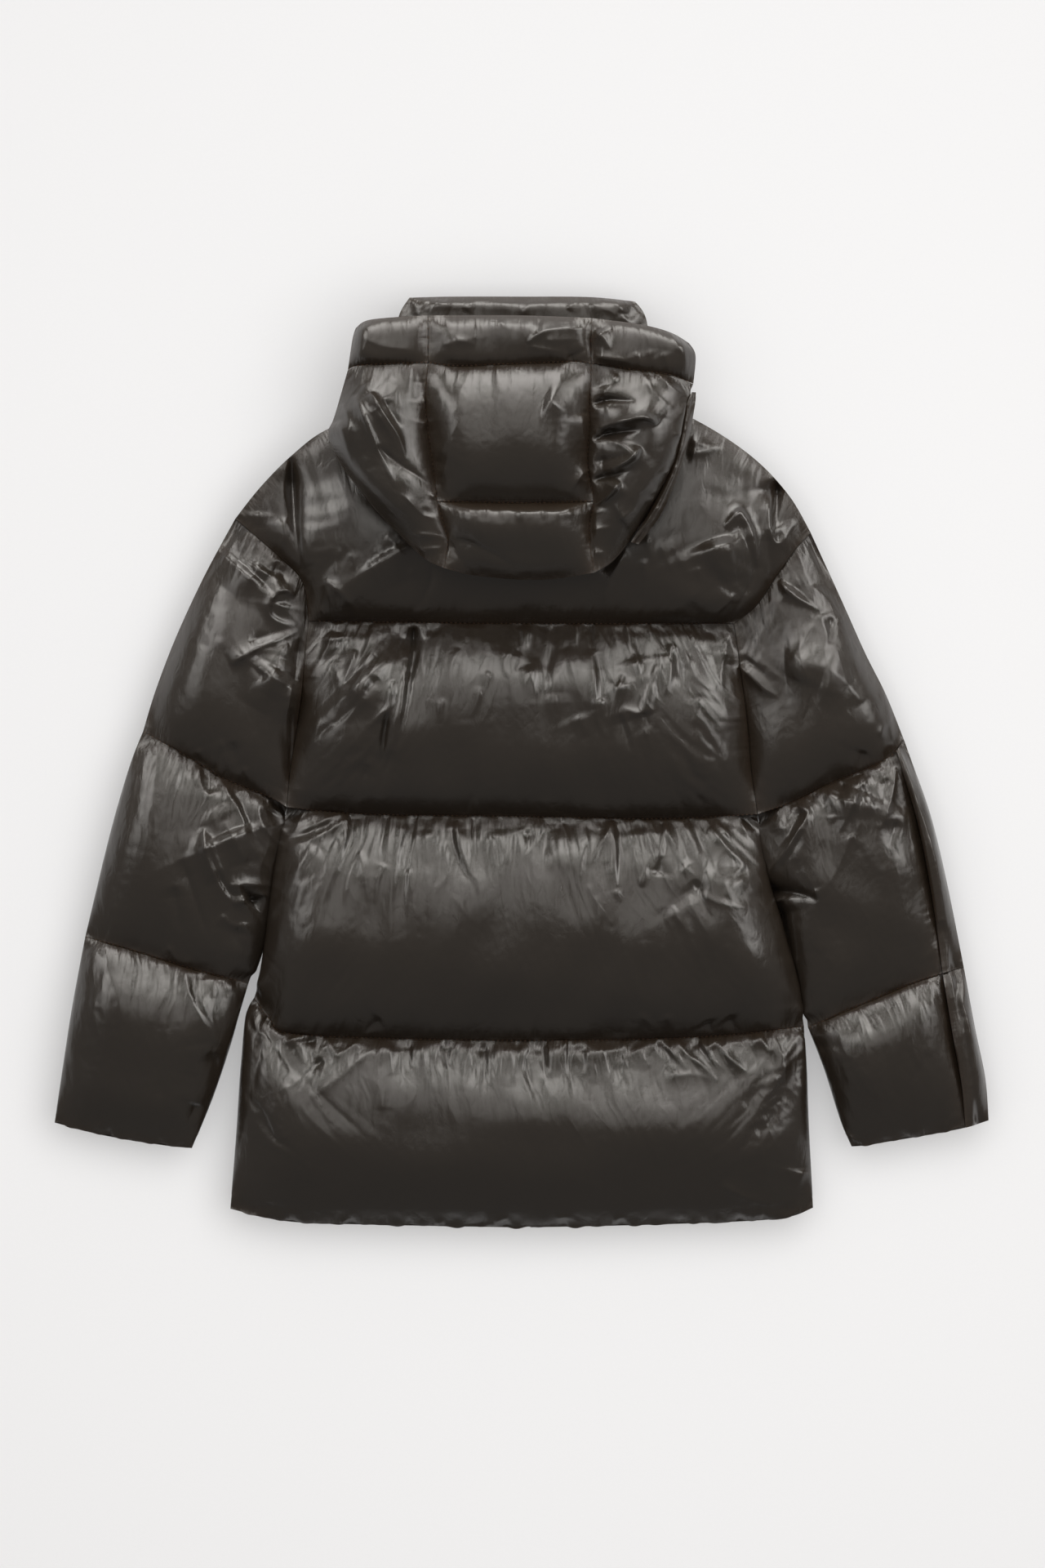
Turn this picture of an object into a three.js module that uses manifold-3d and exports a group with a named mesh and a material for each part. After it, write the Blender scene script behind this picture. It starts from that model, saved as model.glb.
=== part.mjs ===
// Down-filled puffer jacket with a stand collar and a hood, laid face down on a flat surface.
// Millimetres, +Z up, z = 0 on the surface. +Y runs from the hem to the collar, X across the back.
// Left and right are the wearer's: seen from above the wearer's left is at -X.
// Each cut piece is a padded wall: plain inside, quilted puff and gathers in its outer points.
import * as THREE from "three";
import { mergeVertices } from "three/addons/utils/BufferGeometryUtils.js";
import Module from "manifold-3d";

const wasm = await Module();
wasm.setup();

// Heights, from the surface up.
const middle = 40; // the plane in which the fronts and the back lie on each other
const layerGap = 0.3; // between two layers that lie on each other
const hoodMiddle = 98; // the plane between the hood's two layers
const hoodClearance = 0.8; // between the hood and the yoke and collar under it
const supportReach = 20; // how far round a place the hood's underside clears what lies under it
const seamGap = 0.5; // between neighbouring pieces, measured along the cloth
const neckSeamGap = 0.8; // the same at the neck
const curvedSeamGap = 1.4; // the same where a seam bends sharply

// How high each kind of piece stands over the plane that it lies on.
const puff = {
  body: 50, yoke: 45, sleeve: 38, collar: 24, hood: 42, hoodSide: 36, brim: 26, strip: 16, turn: 26,
};
const underPuff = 46; // before the surface presses it flat
const flatDepth = middle; // what is left of it

// What an edge does to the height: its own thickness, and how far in the padding reaches its full height.
const edge = {
  quilted: { thickness: 13, reach: 48 },
  armhole: { thickness: 15, reach: 40 },
  side: { thickness: 3, reach: 46 },
  hem: { thickness: 7, reach: 34 },
  neck: { thickness: 16, reach: 50 },
  hoodSeam: { thickness: 14, reach: 34 },
  hoodOutline: { thickness: 4, reach: 40 },
  brimEdge: { thickness: 9, reach: 18 },
  zip: { thickness: 8, reach: 26 },
  turnOuter: { thickness: 5, reach: 16 },
  turnInner: { thickness: 20, reach: 10 },
  stripInner: { thickness: 10, reach: 4 },
  stripOuter: { thickness: 4, reach: 6 },
};

const zipWidth = 15; // tape and teeth between the fronts
const zipThickness = 2.5;

function table(columns, values) {
  return values.map((row) => Object.fromEntries(columns.map((name, i) => [name, row[i]])));
}

// Points of the outline, seen from above, in the order in which each curve runs.
const points = (values) => table(["x", "y"], values);

// The back's outline, from the shoulder points down to the hem.
const armhole = {
  left: {
    upper: points([[-253, 214], [-244, 207], [-212, 179], [-193, 158], [-188, 124]]),
    lower: points([[-188, 124], [-191, 95], [-194, 60], [-199, 24], [-204, -6], [-207, -40]]),
  },
  right: {
    upper: points([[255, 202], [242, 188], [225, 164], [207, 138], [187, 122]]),
    lower: points([[187, 122], [191, 96], [196, 60], [200, 24], [203, -12], [208, -46]]),
  },
};
const sideSeam = {
  left: {
    waist: points([[-207, -40], [-215, -81], [-219, -113], [-224, -156], [-229, -185], [-236, -208]]),
    hem: points([[-236, -208], [-243, -222], [-247, -264], [-251, -322], [-257, -394]]),
  },
  right: {
    waist: points([[208, -46], [217, -109], [224, -131], [231, -156], [242, -192], [249, -233]]),
    hem: points([[249, -233], [251, -279], [253, -322], [257, -393]]),
  },
};
const neckPoint = { left: 4, right: 6 }; // places in the shoulder line
const shoulderLine = points([
  [-253, 214], [-230, 243], [-202, 271], [-170, 294], [-108, 316], [0, 306],
  [108, 318], [154, 301], [202, 270], [235, 236], [255, 202],
]);
const quiltLine = {
  chest: points([[-188, 124], [0, 122], [187, 122]]),
  waist: points([[-207, -40], [-136, -46], [0, -48], [120, -50], [208, -46]]),
  hem: points([
    [-236, -208], [-222, -227], [-206, -239], [-136, -243],
    [0, -245.5], [116, -244], [188, -240], [249, -233],
  ]),
};
const hemLine = points([
  [-257, -394], [-208, -405], [-136, -408], [0, -410.4], [116, -408], [224, -403], [257, -393],
]);

// The fronts lie under the back: the same sides, a lower neckline, and a zip between them.
const frontEdge = zipWidth / 2 + seamGap;

// The sleeves, from the armhole down to the cuff.
const sleeve = {
  left: {
    outer: {
      upper: points([[-253, 214], [-280, 164], [-305, 110], [-323, 63], [-334, 27]]),
      middle: points([[-334, 27], [-345, -1], [-359, -48], [-370, -91], [-385, -154]]),
      cuff: points([[-385, -154], [-395, -207], [-404, -264], [-412, -318]]),
    },
    inner: {
      middle: points([[-207, -40], [-218, -81], [-222, -113], [-228, -156], [-241, -195]]),
      cuff: points([[-241, -195], [-249, -222], [-258, -253], [-273, -297], [-291, -340.5]]),
    },
    elbowSeam: points([[-334, 27], [-309, 13], [-280, -4], [-262, -15], [-222, -31], [-207, -40]]),
    cuffSeam: points([[-385, -154], [-352, -163], [-316, -174], [-287, -183], [-241, -195]]),
    cuffEnd: points([[-412, -318], [-370, -329], [-316, -338], [-291, -340.5]]),
  },
  right: {
    outer: {
      upper: points([[255, 202], [282, 143], [303, 96], [321, 60], [337, 20]]),
      middle: points([[337, 20], [346, -5], [361, -48], [375, -106], [390, -181]]),
      cuff: points([[390, -181], [400, -235], [409, -279], [411.9, -316]]),
    },
    inner: {
      middle: points([[208, -46], [221, -109], [228, -131], [236, -156], [247, -192], [252.5, -234]]),
      cuff: points([[252.5, -234], [267, -271], [281, -315], [291, -339]]),
    },
    elbowSeam: points([[337, 20], [326, 6], [303, -6.5], [274, -18], [242, -34], [208, -46]]),
    cuffSeam: points([[390, -181], [346, -194], [303, -212], [281, -221], [252.5, -234]]),
    cuffEnd: points([[411.9, -316], [389, -323], [346, -331], [303, -338], [291, -339]]),
  },
};
// On the right sleeve the front piece turns over the outer edge and shows as a strip this wide.
const turnWidth = { top: 12, elbow: 20, cuff: 22 };

const collar = {
  topLine: points([[-99, 409.5], [-60, 410.4], [0, 410.4], [60, 410], [100, 406]]),
  leftSide: points([[-108, 316], [-112, 350], [-109, 391], [-99, 409.5]]),
  rightSide: points([[108, 318], [113, 350], [110, 390], [100, 406]]),
};

// The hood's outline and seams as it lies on the back.
const hood = {
  brimTopLeft: points([[-146, 381], [-136, 388], [-109, 391], [-82, 392.4]]),
  brimTopCentre: points([[-82, 392.4], [0, 392.4], [61, 390]]),
  brimTopRight: points([[61, 390], [94, 386], [116, 382], [134, 376], [147, 368]]),
  brimEndLeft: points([[-146, 381], [-149, 371], [-153, 344]]),
  brimEndRight: points([[147, 368], [153, 357], [151, 332]]),
  brimSeamLeft: points([[-153, 344], [-143, 348], [-109, 350], [-82, 350.6]]),
  brimSeamCentre: points([[-82, 350.6], [-57, 348], [0, 350], [44, 351.4], [61, 350]]),
  brimSeamRight: points([[61, 350], [101, 344], [130, 340], [151, 332]]),
  brimJoinLeft: points([[-82, 392.4], [-82, 350.6]]),
  brimJoinRight: points([[61, 390], [61, 350]]),
  seamLeft: points([
    [-82, 350.6], [-85, 319], [-82, 290], [-78, 261], [-74, 229], [-69, 211], [-65, 193], [-68, 170],
  ]),
  seamRight: points([[61, 350], [60, 312], [58, 261], [63, 229], [60, 211], [60, 189], [64, 166]]),
  cross: [4, 3], // where the cross seam meets the left and right seams, as places in their lists
  crossSeam: points([[-74, 229], [0, 227.5], [63, 229]]),
  bottomCentre: points([[-68, 170], [-50, 165], [-28, 162], [0, 159.8], [30, 160.6], [64, 166]]),
  outlineLeft: points([[-153, 344], [-165, 303], [-170, 291], [-167, 278], [-154, 254], [-129, 222]]),
  bottomLeft: points([[-129, 222], [-114, 206], [-86, 179], [-68, 170]]),
  outlineRight: points([[151, 332], [143, 312], [137, 283], [131, 261], [109, 217]]),
  bottomRight: points([[64, 166], [80, 176], [94, 193], [109, 217]]),
};
// The end of the brim that runs down the hood's right side, under the side panel's edge.
const brimTurn = table(["innerX", "innerY", "outerX", "outerY"], [
  [151.6, 331, 153.4, 331], [144, 312, 152.5, 313], [138, 283, 147, 283],
  [132, 261, 141, 262], [122, 239, 133, 240], [110.5, 217, 121, 215], [95.5, 193, 103, 191],
]);

// The gathers under each seam: how many folds, how deep, and how far down the piece they run.
const gathers = {
  chest: { folds: 22, depth: 6.5, run: 80 },
  waist: { folds: 26, depth: 6, run: 75 },
  hem: { folds: 28, depth: 6.5, run: 60 },
  sleeve: { folds: 8, depth: 5, run: 60 },
  hood: { folds: 6, depth: 3, run: 30 },
};

// The largest folds: soft troughs from one point to the other, in the piece that is named.
const folds = table(["piece", "fromX", "fromY", "toX", "toY", "depth", "width"], [
  ["back_yoke", -203, 266, -196, 170, 14, 9],
  ["back_yoke", 222, 246, 223, 172, 12, 9],
  ["back_yoke", 190, 212, 200, 150, 9, 10],
  ["back_yoke", -88, 175, -101, 124, 5, 9],
  ["back_chest", -103, 118, -112, 10, 9, 9],
  ["back_chest", 40, 70, 44, 0, 5, 8],
  ["back_chest", 96, 70, 86, 0, 6, 9],
  ["back_waist", 196, -60, 214, -90, 8, 9],
  ["left_sleeve_back_middle", -284, -60, -254, -122, 9, 8],
  ["left_sleeve_back_upper", -205, 40, -206, 0, 8, 8],
  ["right_sleeve_back_middle", 224, -104, 262, -112, 9, 8],
  ["right_sleeve_back_upper", 228, 158, 262, 132, 8, 9],
]);

const pointsEachGather = 3;

const lerp = THREE.MathUtils.lerp;
const vector = (point) => new THREE.Vector2(point.x, point.y);
const curve = (list) => new THREE.SplineCurve(list.map(vector));
const reversed = (list) => [...list].reverse();

// The part of a line between two shares of its length, as a short list of points.
function stretch(list, from, to, count = 5) {
  const line = curve(list);
  return Array.from({ length: count }, (_, i) => line.getPointAt(lerp(from, to, i / (count - 1))));
}

// The part of a line between two of its own points, which are given by their place in the list.
function between(list, first, last) {
  const line = curve(list);
  const steps = 4 * (last - first);
  return Array.from({ length: steps + 1 }, (_, i) => line.getPoint((first + i / 4) / (list.length - 1)));
}

// How far an edge lets the padding rise, from 0 at the edge to 1 at its reach.
function rise({ thickness, reach }, distance, height) {
  const inward = 1 - Math.min(distance / reach, 1);
  const share = thickness / height;
  return share + (1 - share) * Math.sqrt(1 - inward * inward);
}

// Depth of the gathers at a place: irregular folds that are deepest a little under the seam.
function gatherDepth({ folds: count, depth, run }, u, distance) {
  const place = u * count;
  const k = Math.floor(place);
  const unevenRun = run * (0.62 + 0.38 * Math.sin(2.3 * k + 0.7));
  const unevenDepth = depth * (0.72 + 0.28 * Math.sin(1.7 * k + 2.1));
  const fade = Math.max(0, 1 - distance / unevenRun);
  const nearSeam = Math.min(1, 0.35 + distance / 8);
  return unevenDepth * fade * fade * nearSeam * Math.sin(Math.PI * (place - k)) ** 2;
}

// Depth of the named large folds at a place on a piece.
function foldDepth(name, x, y) {
  let depth = 0;
  for (const fold of folds.filter((row) => row.piece === name)) {
    const from = new THREE.Vector2(fold.fromX, fold.fromY);
    const along = new THREE.Vector2(fold.toX, fold.toY).sub(from);
    const offset = new THREE.Vector2(x, y).sub(from);
    const share = THREE.MathUtils.clamp(offset.dot(along) / along.lengthSq(), 0, 1);
    const away = offset.sub(along.multiplyScalar(share)).length() / fold.width;
    depth = Math.max(depth, fold.depth * Math.exp(-away * away));
  }
  return depth;
}

// A patch between four curves; u runs from left to right and v from top to bottom.
function patch({ top, bottom, left, right }) {
  const lines = { top: curve(top), bottom: curve(bottom), left: curve(left), right: curve(right) };
  const size = {
    across: (lines.top.getLength() + lines.bottom.getLength()) / 2,
    down: (lines.left.getLength() + lines.right.getLength()) / 2,
  };
  const corner = [lines.top, lines.bottom].flatMap((line) => [line.getPoint(0), line.getPoint(1)]);
  const at = (u, v) => {
    const t = lines.top.getPointAt(u);
    const b = lines.bottom.getPointAt(u);
    const l = lines.left.getPointAt(v);
    const r = lines.right.getPointAt(v);
    const mix = (axis) =>
      lerp(t[axis], b[axis], v) + lerp(l[axis], r[axis], u) -
      lerp(lerp(corner[0][axis], corner[1][axis], u), lerp(corner[2][axis], corner[3][axis], u), v);
    return new THREE.Vector2(mix("x"), mix("y"));
  };
  return { at, size };
}

// Shares of the way down at which the rows lie: close together at both seams.
function rowShares(rows) {
  return Array.from({ length: rows + 1 }, (_, i) => (1 - Math.cos((Math.PI * i) / rows)) / 2);
}

// A padded piece over (or, with under set, below) a plane, as a closed solid.
// The first rows under a gathered seam have several columns to each gather.
function paddedPiece(name, edges, look) {
  const { kinds, height, plane, under = false, columns, rows, gather, gap = seamGap } = look;
  const fineColumns = gather ? pointsEachGather * gather.folds : columns;
  const { at, size } = patch(edges);
  const inset = { u: gap / 2 / size.across, v: gap / 2 / size.down };
  const shares = rowShares(rows);
  const outerRows = shares.map((share) => {
    const distance = share * size.down;
    const count = gather && distance < gather.run ? fineColumns : columns;
    const v = lerp(inset.v, 1 - inset.v, share);
    return Array.from({ length: count + 1 }, (_, i) => {
      const even = i / count;
      const crowded = (1 - Math.cos(Math.PI * even)) / 2;
      const u = lerp(inset.u, 1 - inset.u, gather && count === fineColumns ? even : crowded);
      const place = at(u, v);
      const level =
        height * rise(kinds.top, v * size.down, height) * rise(kinds.bottom, (1 - v) * size.down, height) *
        rise(kinds.left, u * size.across, height) * rise(kinds.right, (1 - u) * size.across, height);
      const gathered = gather ? gatherDepth(gather, u, distance) : 0;
      const relief = under ? 0 : gathered + foldDepth(name, place.x, place.y);
      const thinnest = 3;
      const thickness = Math.max(level - relief, Math.min(level, thinnest));
      const z = under ? plane - Math.min(thickness, flatDepth) : plane + thickness;
      return new THREE.Vector3(place.x, place.y, z);
    });
  });
  return solidBetween(outerRows, () => plane, under);
}

// Stitches two rows of points, which may differ in number, into triangles.
function stitch(first, second, faces) {
  let i = 0;
  let j = 0;
  while (i < first.length - 1 || j < second.length - 1) {
    const alongFirst = (i + 1) / (first.length - 1);
    const alongSecond = (j + 1) / (second.length - 1);
    if (j === second.length - 1 || (i < first.length - 1 && alongFirst <= alongSecond + 1e-9)) {
      faces.push([first[i], second[j], first[i + 1]]);
      i += 1;
    } else {
      faces.push([first[i], second[j], second[j + 1]]);
      j += 1;
    }
  }
}

// A closed solid: the outer rows, a rim, and an inside whose height at a place is innerHeight(x, y).
function solidBetween(outerRows, innerHeight, under) {
  const position = [];
  const indexRows = outerRows.map((row) =>
    row.map((p) => position.push(p.x, p.y, p.z) / 3 - 1));
  const faces = [];
  for (let i = 1; i < indexRows.length; i += 1) stitch(indexRows[i - 1], indexRows[i], faces);
  const last = indexRows.length - 1;
  const rim = [
    ...indexRows[0],
    ...indexRows.slice(1, last).map((row) => row[row.length - 1]),
    ...[...indexRows[last]].reverse(),
    ...indexRows.slice(1, last).map((row) => row[0]).reverse(),
  ];
  const rimPoint = (index) => new THREE.Vector2(position[3 * index], position[3 * index + 1]);
  const inner = rim.map((index) => {
    const place = rimPoint(index);
    return position.push(place.x, place.y, innerHeight(place.x, place.y)) / 3 - 1;
  });
  rim.forEach((index, k) => {
    const next = (k + 1) % rim.length;
    faces.push([rim[next], inner[k], index], [rim[next], inner[next], inner[k]]);
  });
  for (const [a, b, c] of THREE.ShapeUtils.triangulateShape(rim.map(rimPoint), [])) {
    faces.push([inner[a], inner[b], inner[c]]);
  }
  const geometry = new THREE.BufferGeometry();
  geometry.setAttribute("position", new THREE.Float32BufferAttribute(position, 3));
  geometry.setIndex(orient(faces, position, inner, under).flat());
  return geometry;
}

// Turns every triangle to face out of the solid.
function orient(faces, position, inner, under) {
  const at = (index) => new THREE.Vector3().fromArray(position, 3 * index);
  const insideStart = Math.min(...inner);
  const [a, b, c] = faces[0].map(at);
  const outward = b.clone().sub(a).cross(c.clone().sub(a)).z;
  const flipOuter = under ? outward > 0 : outward < 0;
  const flip = ([p, q, r]) => [p, r, q];
  return faces.map((face) => {
    const allInner = face.every((index) => index >= insideStart);
    if (!allInner) return flipOuter ? flip(face) : face;
    const [d, e, f] = face.map(at);
    const up = e.clone().sub(d).cross(f.clone().sub(d)).z > 0;
    return up === under ? face : flip(face);
  });
}

function toManifold(geometry) {
  const bare = geometry.clone();
  bare.deleteAttribute("normal");
  bare.deleteAttribute("uv");
  const merged = mergeVertices(bare, 1e-4);
  return new wasm.Manifold(new wasm.Mesh({
    numProp: 3,
    vertProperties: merged.attributes.position.array,
    triVerts: new Uint32Array(merged.index.array),
  }));
}

function fromManifold(solid) {
  const made = solid.getMesh();
  const geometry = new THREE.BufferGeometry();
  geometry.setAttribute("position", new THREE.BufferAttribute(made.vertProperties, 3));
  geometry.setIndex(new THREE.BufferAttribute(made.triVerts, 1));
  return geometry;
}

const shellCloth = new THREE.MeshStandardMaterial({ color: 0x35302b, roughness: 0.32, metalness: 0 });
const hoodCloth = new THREE.MeshStandardMaterial({ color: 0x37322d, roughness: 0.32, metalness: 0 });
const zipTape = new THREE.MeshStandardMaterial({ color: 0x1d1b19, roughness: 0.6, metalness: 0.1 });

const jacket = new THREE.Group();

function add(name, geometry, material) {
  geometry.computeVertexNormals();
  const mesh = new THREE.Mesh(geometry, material);
  mesh.name = name;
  jacket.add(mesh);
  return geometry;
}

// The back: a yoke and three quilted pieces, each gathered into the seam over it.
function addBack() {
  const seams = { top: edge.quilted, bottom: edge.quilted };
  const levels = [
    { name: "back_yoke", top: shoulderLine, bottom: quiltLine.chest, sides: ["armhole", "upper"],
      kinds: { top: edge.neck, bottom: edge.quilted, left: edge.armhole, right: edge.armhole },
      look: { height: puff.yoke, columns: 40, rows: 10, gap: neckSeamGap } },
    { name: "back_chest", top: quiltLine.chest, bottom: quiltLine.waist, sides: ["armhole", "lower"],
      kinds: { ...seams, left: edge.armhole, right: edge.armhole }, gather: gathers.chest },
    { name: "back_waist", top: quiltLine.waist, bottom: quiltLine.hem, sides: ["side", "waist"],
      kinds: { ...seams, left: edge.side, right: edge.side }, gather: gathers.waist },
    { name: "back_hem", top: quiltLine.hem, bottom: hemLine, sides: ["side", "hem"],
      kinds: { top: edge.quilted, bottom: edge.hem, left: edge.side, right: edge.side },
      gather: gathers.hem },
  ];
  for (const { name, top, bottom, sides: [line, part], kinds, gather, look } of levels) {
    const side = line === "armhole" ? armhole : sideSeam;
    const usual = { plane: middle + layerGap, height: puff.body, columns: 16, rows: 8 };
    const edges = { top, bottom, left: side.left[part], right: side.right[part] };
    add(name, paddedPiece(name, edges, { ...usual, ...look, kinds, gather }), shellCloth);
  }
}

// The top edge of one front: the shoulder, then the lower neckline down to the zip.
const frontNeckBottom = 268;
function frontTop(side) {
  const sign = side === "left" ? -1 : 1;
  const shoulder = side === "left" ? shoulderLine.slice(0, 5) : reversed(shoulderLine).slice(0, 5);
  const neck = shoulder[neckPoint.left];
  const bend = { x: neck.x * 0.55, y: lerp(neck.y, frontNeckBottom, 0.7) };
  return [...shoulder, bend, { x: sign * frontEdge, y: frontNeckBottom }];
}

// One front: the same four levels, mirrored under the back, cut off at the zip.
function addFront(side) {
  const sign = side === "left" ? -1 : 1;
  const centre = (y) => ({ x: sign * frontEdge, y });
  const middleLine = [quiltLine.chest[1], quiltLine.waist[2], quiltLine.hem[4], hemLine[3]];
  const levels = [frontNeckBottom, ...middleLine.map((point) => point.y)];
  const half = (list) => {
    const outward = side === "left" ? list : reversed(list);
    return outward.filter((point) => sign * point.x > frontEdge + 10);
  };
  const lines = [
    frontTop(side),
    [...half(quiltLine.chest), centre(levels[1])],
    [...half(quiltLine.waist), centre(levels[2])],
    [...half(quiltLine.hem), centre(levels[3])],
    [...half(hemLine), centre(levels[4])],
  ];
  const sides = [armhole[side].upper, armhole[side].lower, sideSeam[side].waist, sideSeam[side].hem];
  const kinds = [edge.armhole, edge.armhole, edge.side, edge.side];
  ["yoke", "chest", "waist", "hem"].forEach((level, i) => {
    const edges = {
      top: lines[i], bottom: lines[i + 1], left: sides[i], right: [centre(levels[i]), centre(levels[i + 1])],
    };
    const name = side + "_front_" + level;
    add(name, paddedPiece(name, edges, {
      plane: middle, height: underPuff, under: true,
      columns: i ? 12 : 24, rows: i ? 8 : 10, gap: i ? seamGap : curvedSeamGap,
      kinds: {
        top: i ? edge.quilted : edge.neck, bottom: i < 3 ? edge.quilted : edge.hem,
        left: kinds[i], right: edge.zip,
      },
    }), shellCloth);
  });
}

// One sleeve: a back piece and a front piece at each of its three levels.
function addSleeve(side) {
  const cut = sleeve[side];
  const levels = [
    { name: "upper", top: armhole[side].upper, bottom: cut.elbowSeam, right: armhole[side].lower },
    { name: "middle", top: cut.elbowSeam, bottom: cut.cuffSeam, right: cut.inner.middle },
    { name: "cuff", top: cut.cuffSeam, bottom: cut.cuffEnd, right: cut.inner.cuff },
  ];
  for (const level of levels) {
    const edges = { top: level.top, bottom: level.bottom, left: cut.outer[level.name], right: level.right };
    const kinds = {
      top: level.name === "upper" ? edge.armhole : edge.quilted,
      bottom: level.name === "cuff" ? edge.hem : edge.quilted,
      left: edge.side,
      right: level.name === "upper" ? edge.armhole : edge.side,
    };
    const turned = side === "right" && level.name !== "upper";
    const back = turned ? narrowed(edges, level.name) : edges;
    const backName = side + "_sleeve_back_" + level.name;
    add(backName, paddedPiece(backName, back, {
      plane: middle + layerGap, height: puff.sleeve, columns: 10, rows: 8,
      gather: level.name === "upper" ? undefined : gathers.sleeve,
      kinds: turned ? { ...kinds, left: edge.hoodSeam } : kinds,
    }), shellCloth);
    const frontName = side + "_sleeve_front_" + level.name;
    const front = paddedPiece(frontName, edges, {
      plane: middle, height: underPuff, under: true, columns: 8, rows: 8, kinds,
      gap: level.name === "upper" ? curvedSeamGap : seamGap,
    });
    add(frontName, turned ? withTurn(front, edges, back, level.name) : front, shellCloth);
  }
}

// Where the front piece turns over the right sleeve's outer edge, the back piece ends short of it.
function turnShares(name) {
  return name === "middle" ? [turnWidth.top, turnWidth.elbow] : [turnWidth.elbow, turnWidth.cuff];
}

function narrowed(edges, name) {
  const [atTop, atBottom] = turnShares(name);
  const top = curve(edges.top);
  const bottom = curve(edges.bottom);
  const from = atTop / top.getLength();
  const to = atBottom / bottom.getLength();
  const { at } = patch(edges);
  return {
    top: stretch(edges.top, from, 1, 7),
    bottom: stretch(edges.bottom, to, 1, 7),
    left: [0, 0.25, 0.5, 0.75, 1].map((v) => at(lerp(from, to, v), v)),
    right: edges.right,
  };
}

function withTurn(front, edges, back, name) {
  const [atTop, atBottom] = turnShares(name);
  const strip = {
    top: stretch(edges.top, 0, atTop / curve(edges.top).getLength(), 3),
    bottom: stretch(edges.bottom, 0, atBottom / curve(edges.bottom).getLength(), 3),
    left: edges.left,
    right: back.left,
  };
  const intoFront = 1; // the strip's inside lies this far in the front piece, so that the two join
  const turn = paddedPiece(name, strip, {
    plane: middle - intoFront, height: puff.turn, columns: 4, rows: 8,
    kinds: { top: edge.quilted, bottom: edge.quilted, left: edge.turnOuter, right: edge.turnInner },
  });
  return fromManifold(toManifold(front).add(toManifold(turn)));
}

// The collar lies flat: its back half over its two front halves.
function addCollar() {
  const kinds = { top: edge.brimEdge, bottom: edge.neck, left: edge.brimEdge, right: edge.brimEdge };
  const backEdges = {
    top: collar.topLine, bottom: between(shoulderLine, neckPoint.left, neckPoint.right),
    left: reversed(collar.leftSide), right: reversed(collar.rightSide),
  };
  add("collar_back", paddedPiece("collar_back", backEdges, {
    plane: middle + layerGap, height: puff.collar, columns: 20, rows: 7, kinds, gap: neckSeamGap,
  }), hoodCloth);
  for (const side of ["left", "right"]) {
    const sign = side === "left" ? -1 : 1;
    const sideLine = side === "left" ? collar.leftSide : collar.rightSide;
    const line = frontTop(side);
    const bottom = between(line, neckPoint.left, line.length - 1);
    const lowerEnd = bottom[bottom.length - 1];
    const upperEnd = { x: sign * frontEdge, y: collar.topLine[2].y - 1 };
    const top = side === "left" ? collar.topLine : reversed(collar.topLine);
    const name = "collar_front_" + side;
    const edges = {
      top: [...top.slice(0, 2), upperEnd], bottom, left: reversed(sideLine), right: [upperEnd, lowerEnd],
    };
    add(name, paddedPiece(name, edges, {
      plane: middle, height: underPuff, under: true, columns: 10, rows: 6, gap: curvedSeamGap,
      kinds: { ...kinds, right: edge.zip },
    }), hoodCloth);
  }
}

// The closed zip: a flat strip in the valley between the fronts, from the hem to the collar's top.
function addZip() {
  const bottom = hemLine[3].y + 4;
  const top = collar.topLine[2].y - 4;
  const strip = new THREE.BoxGeometry(zipWidth, top - bottom, zipThickness);
  strip.translate(0, (top + bottom) / 2, middle - zipThickness / 2 - layerGap);
  add("front_zip", strip, zipTape);
}

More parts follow.
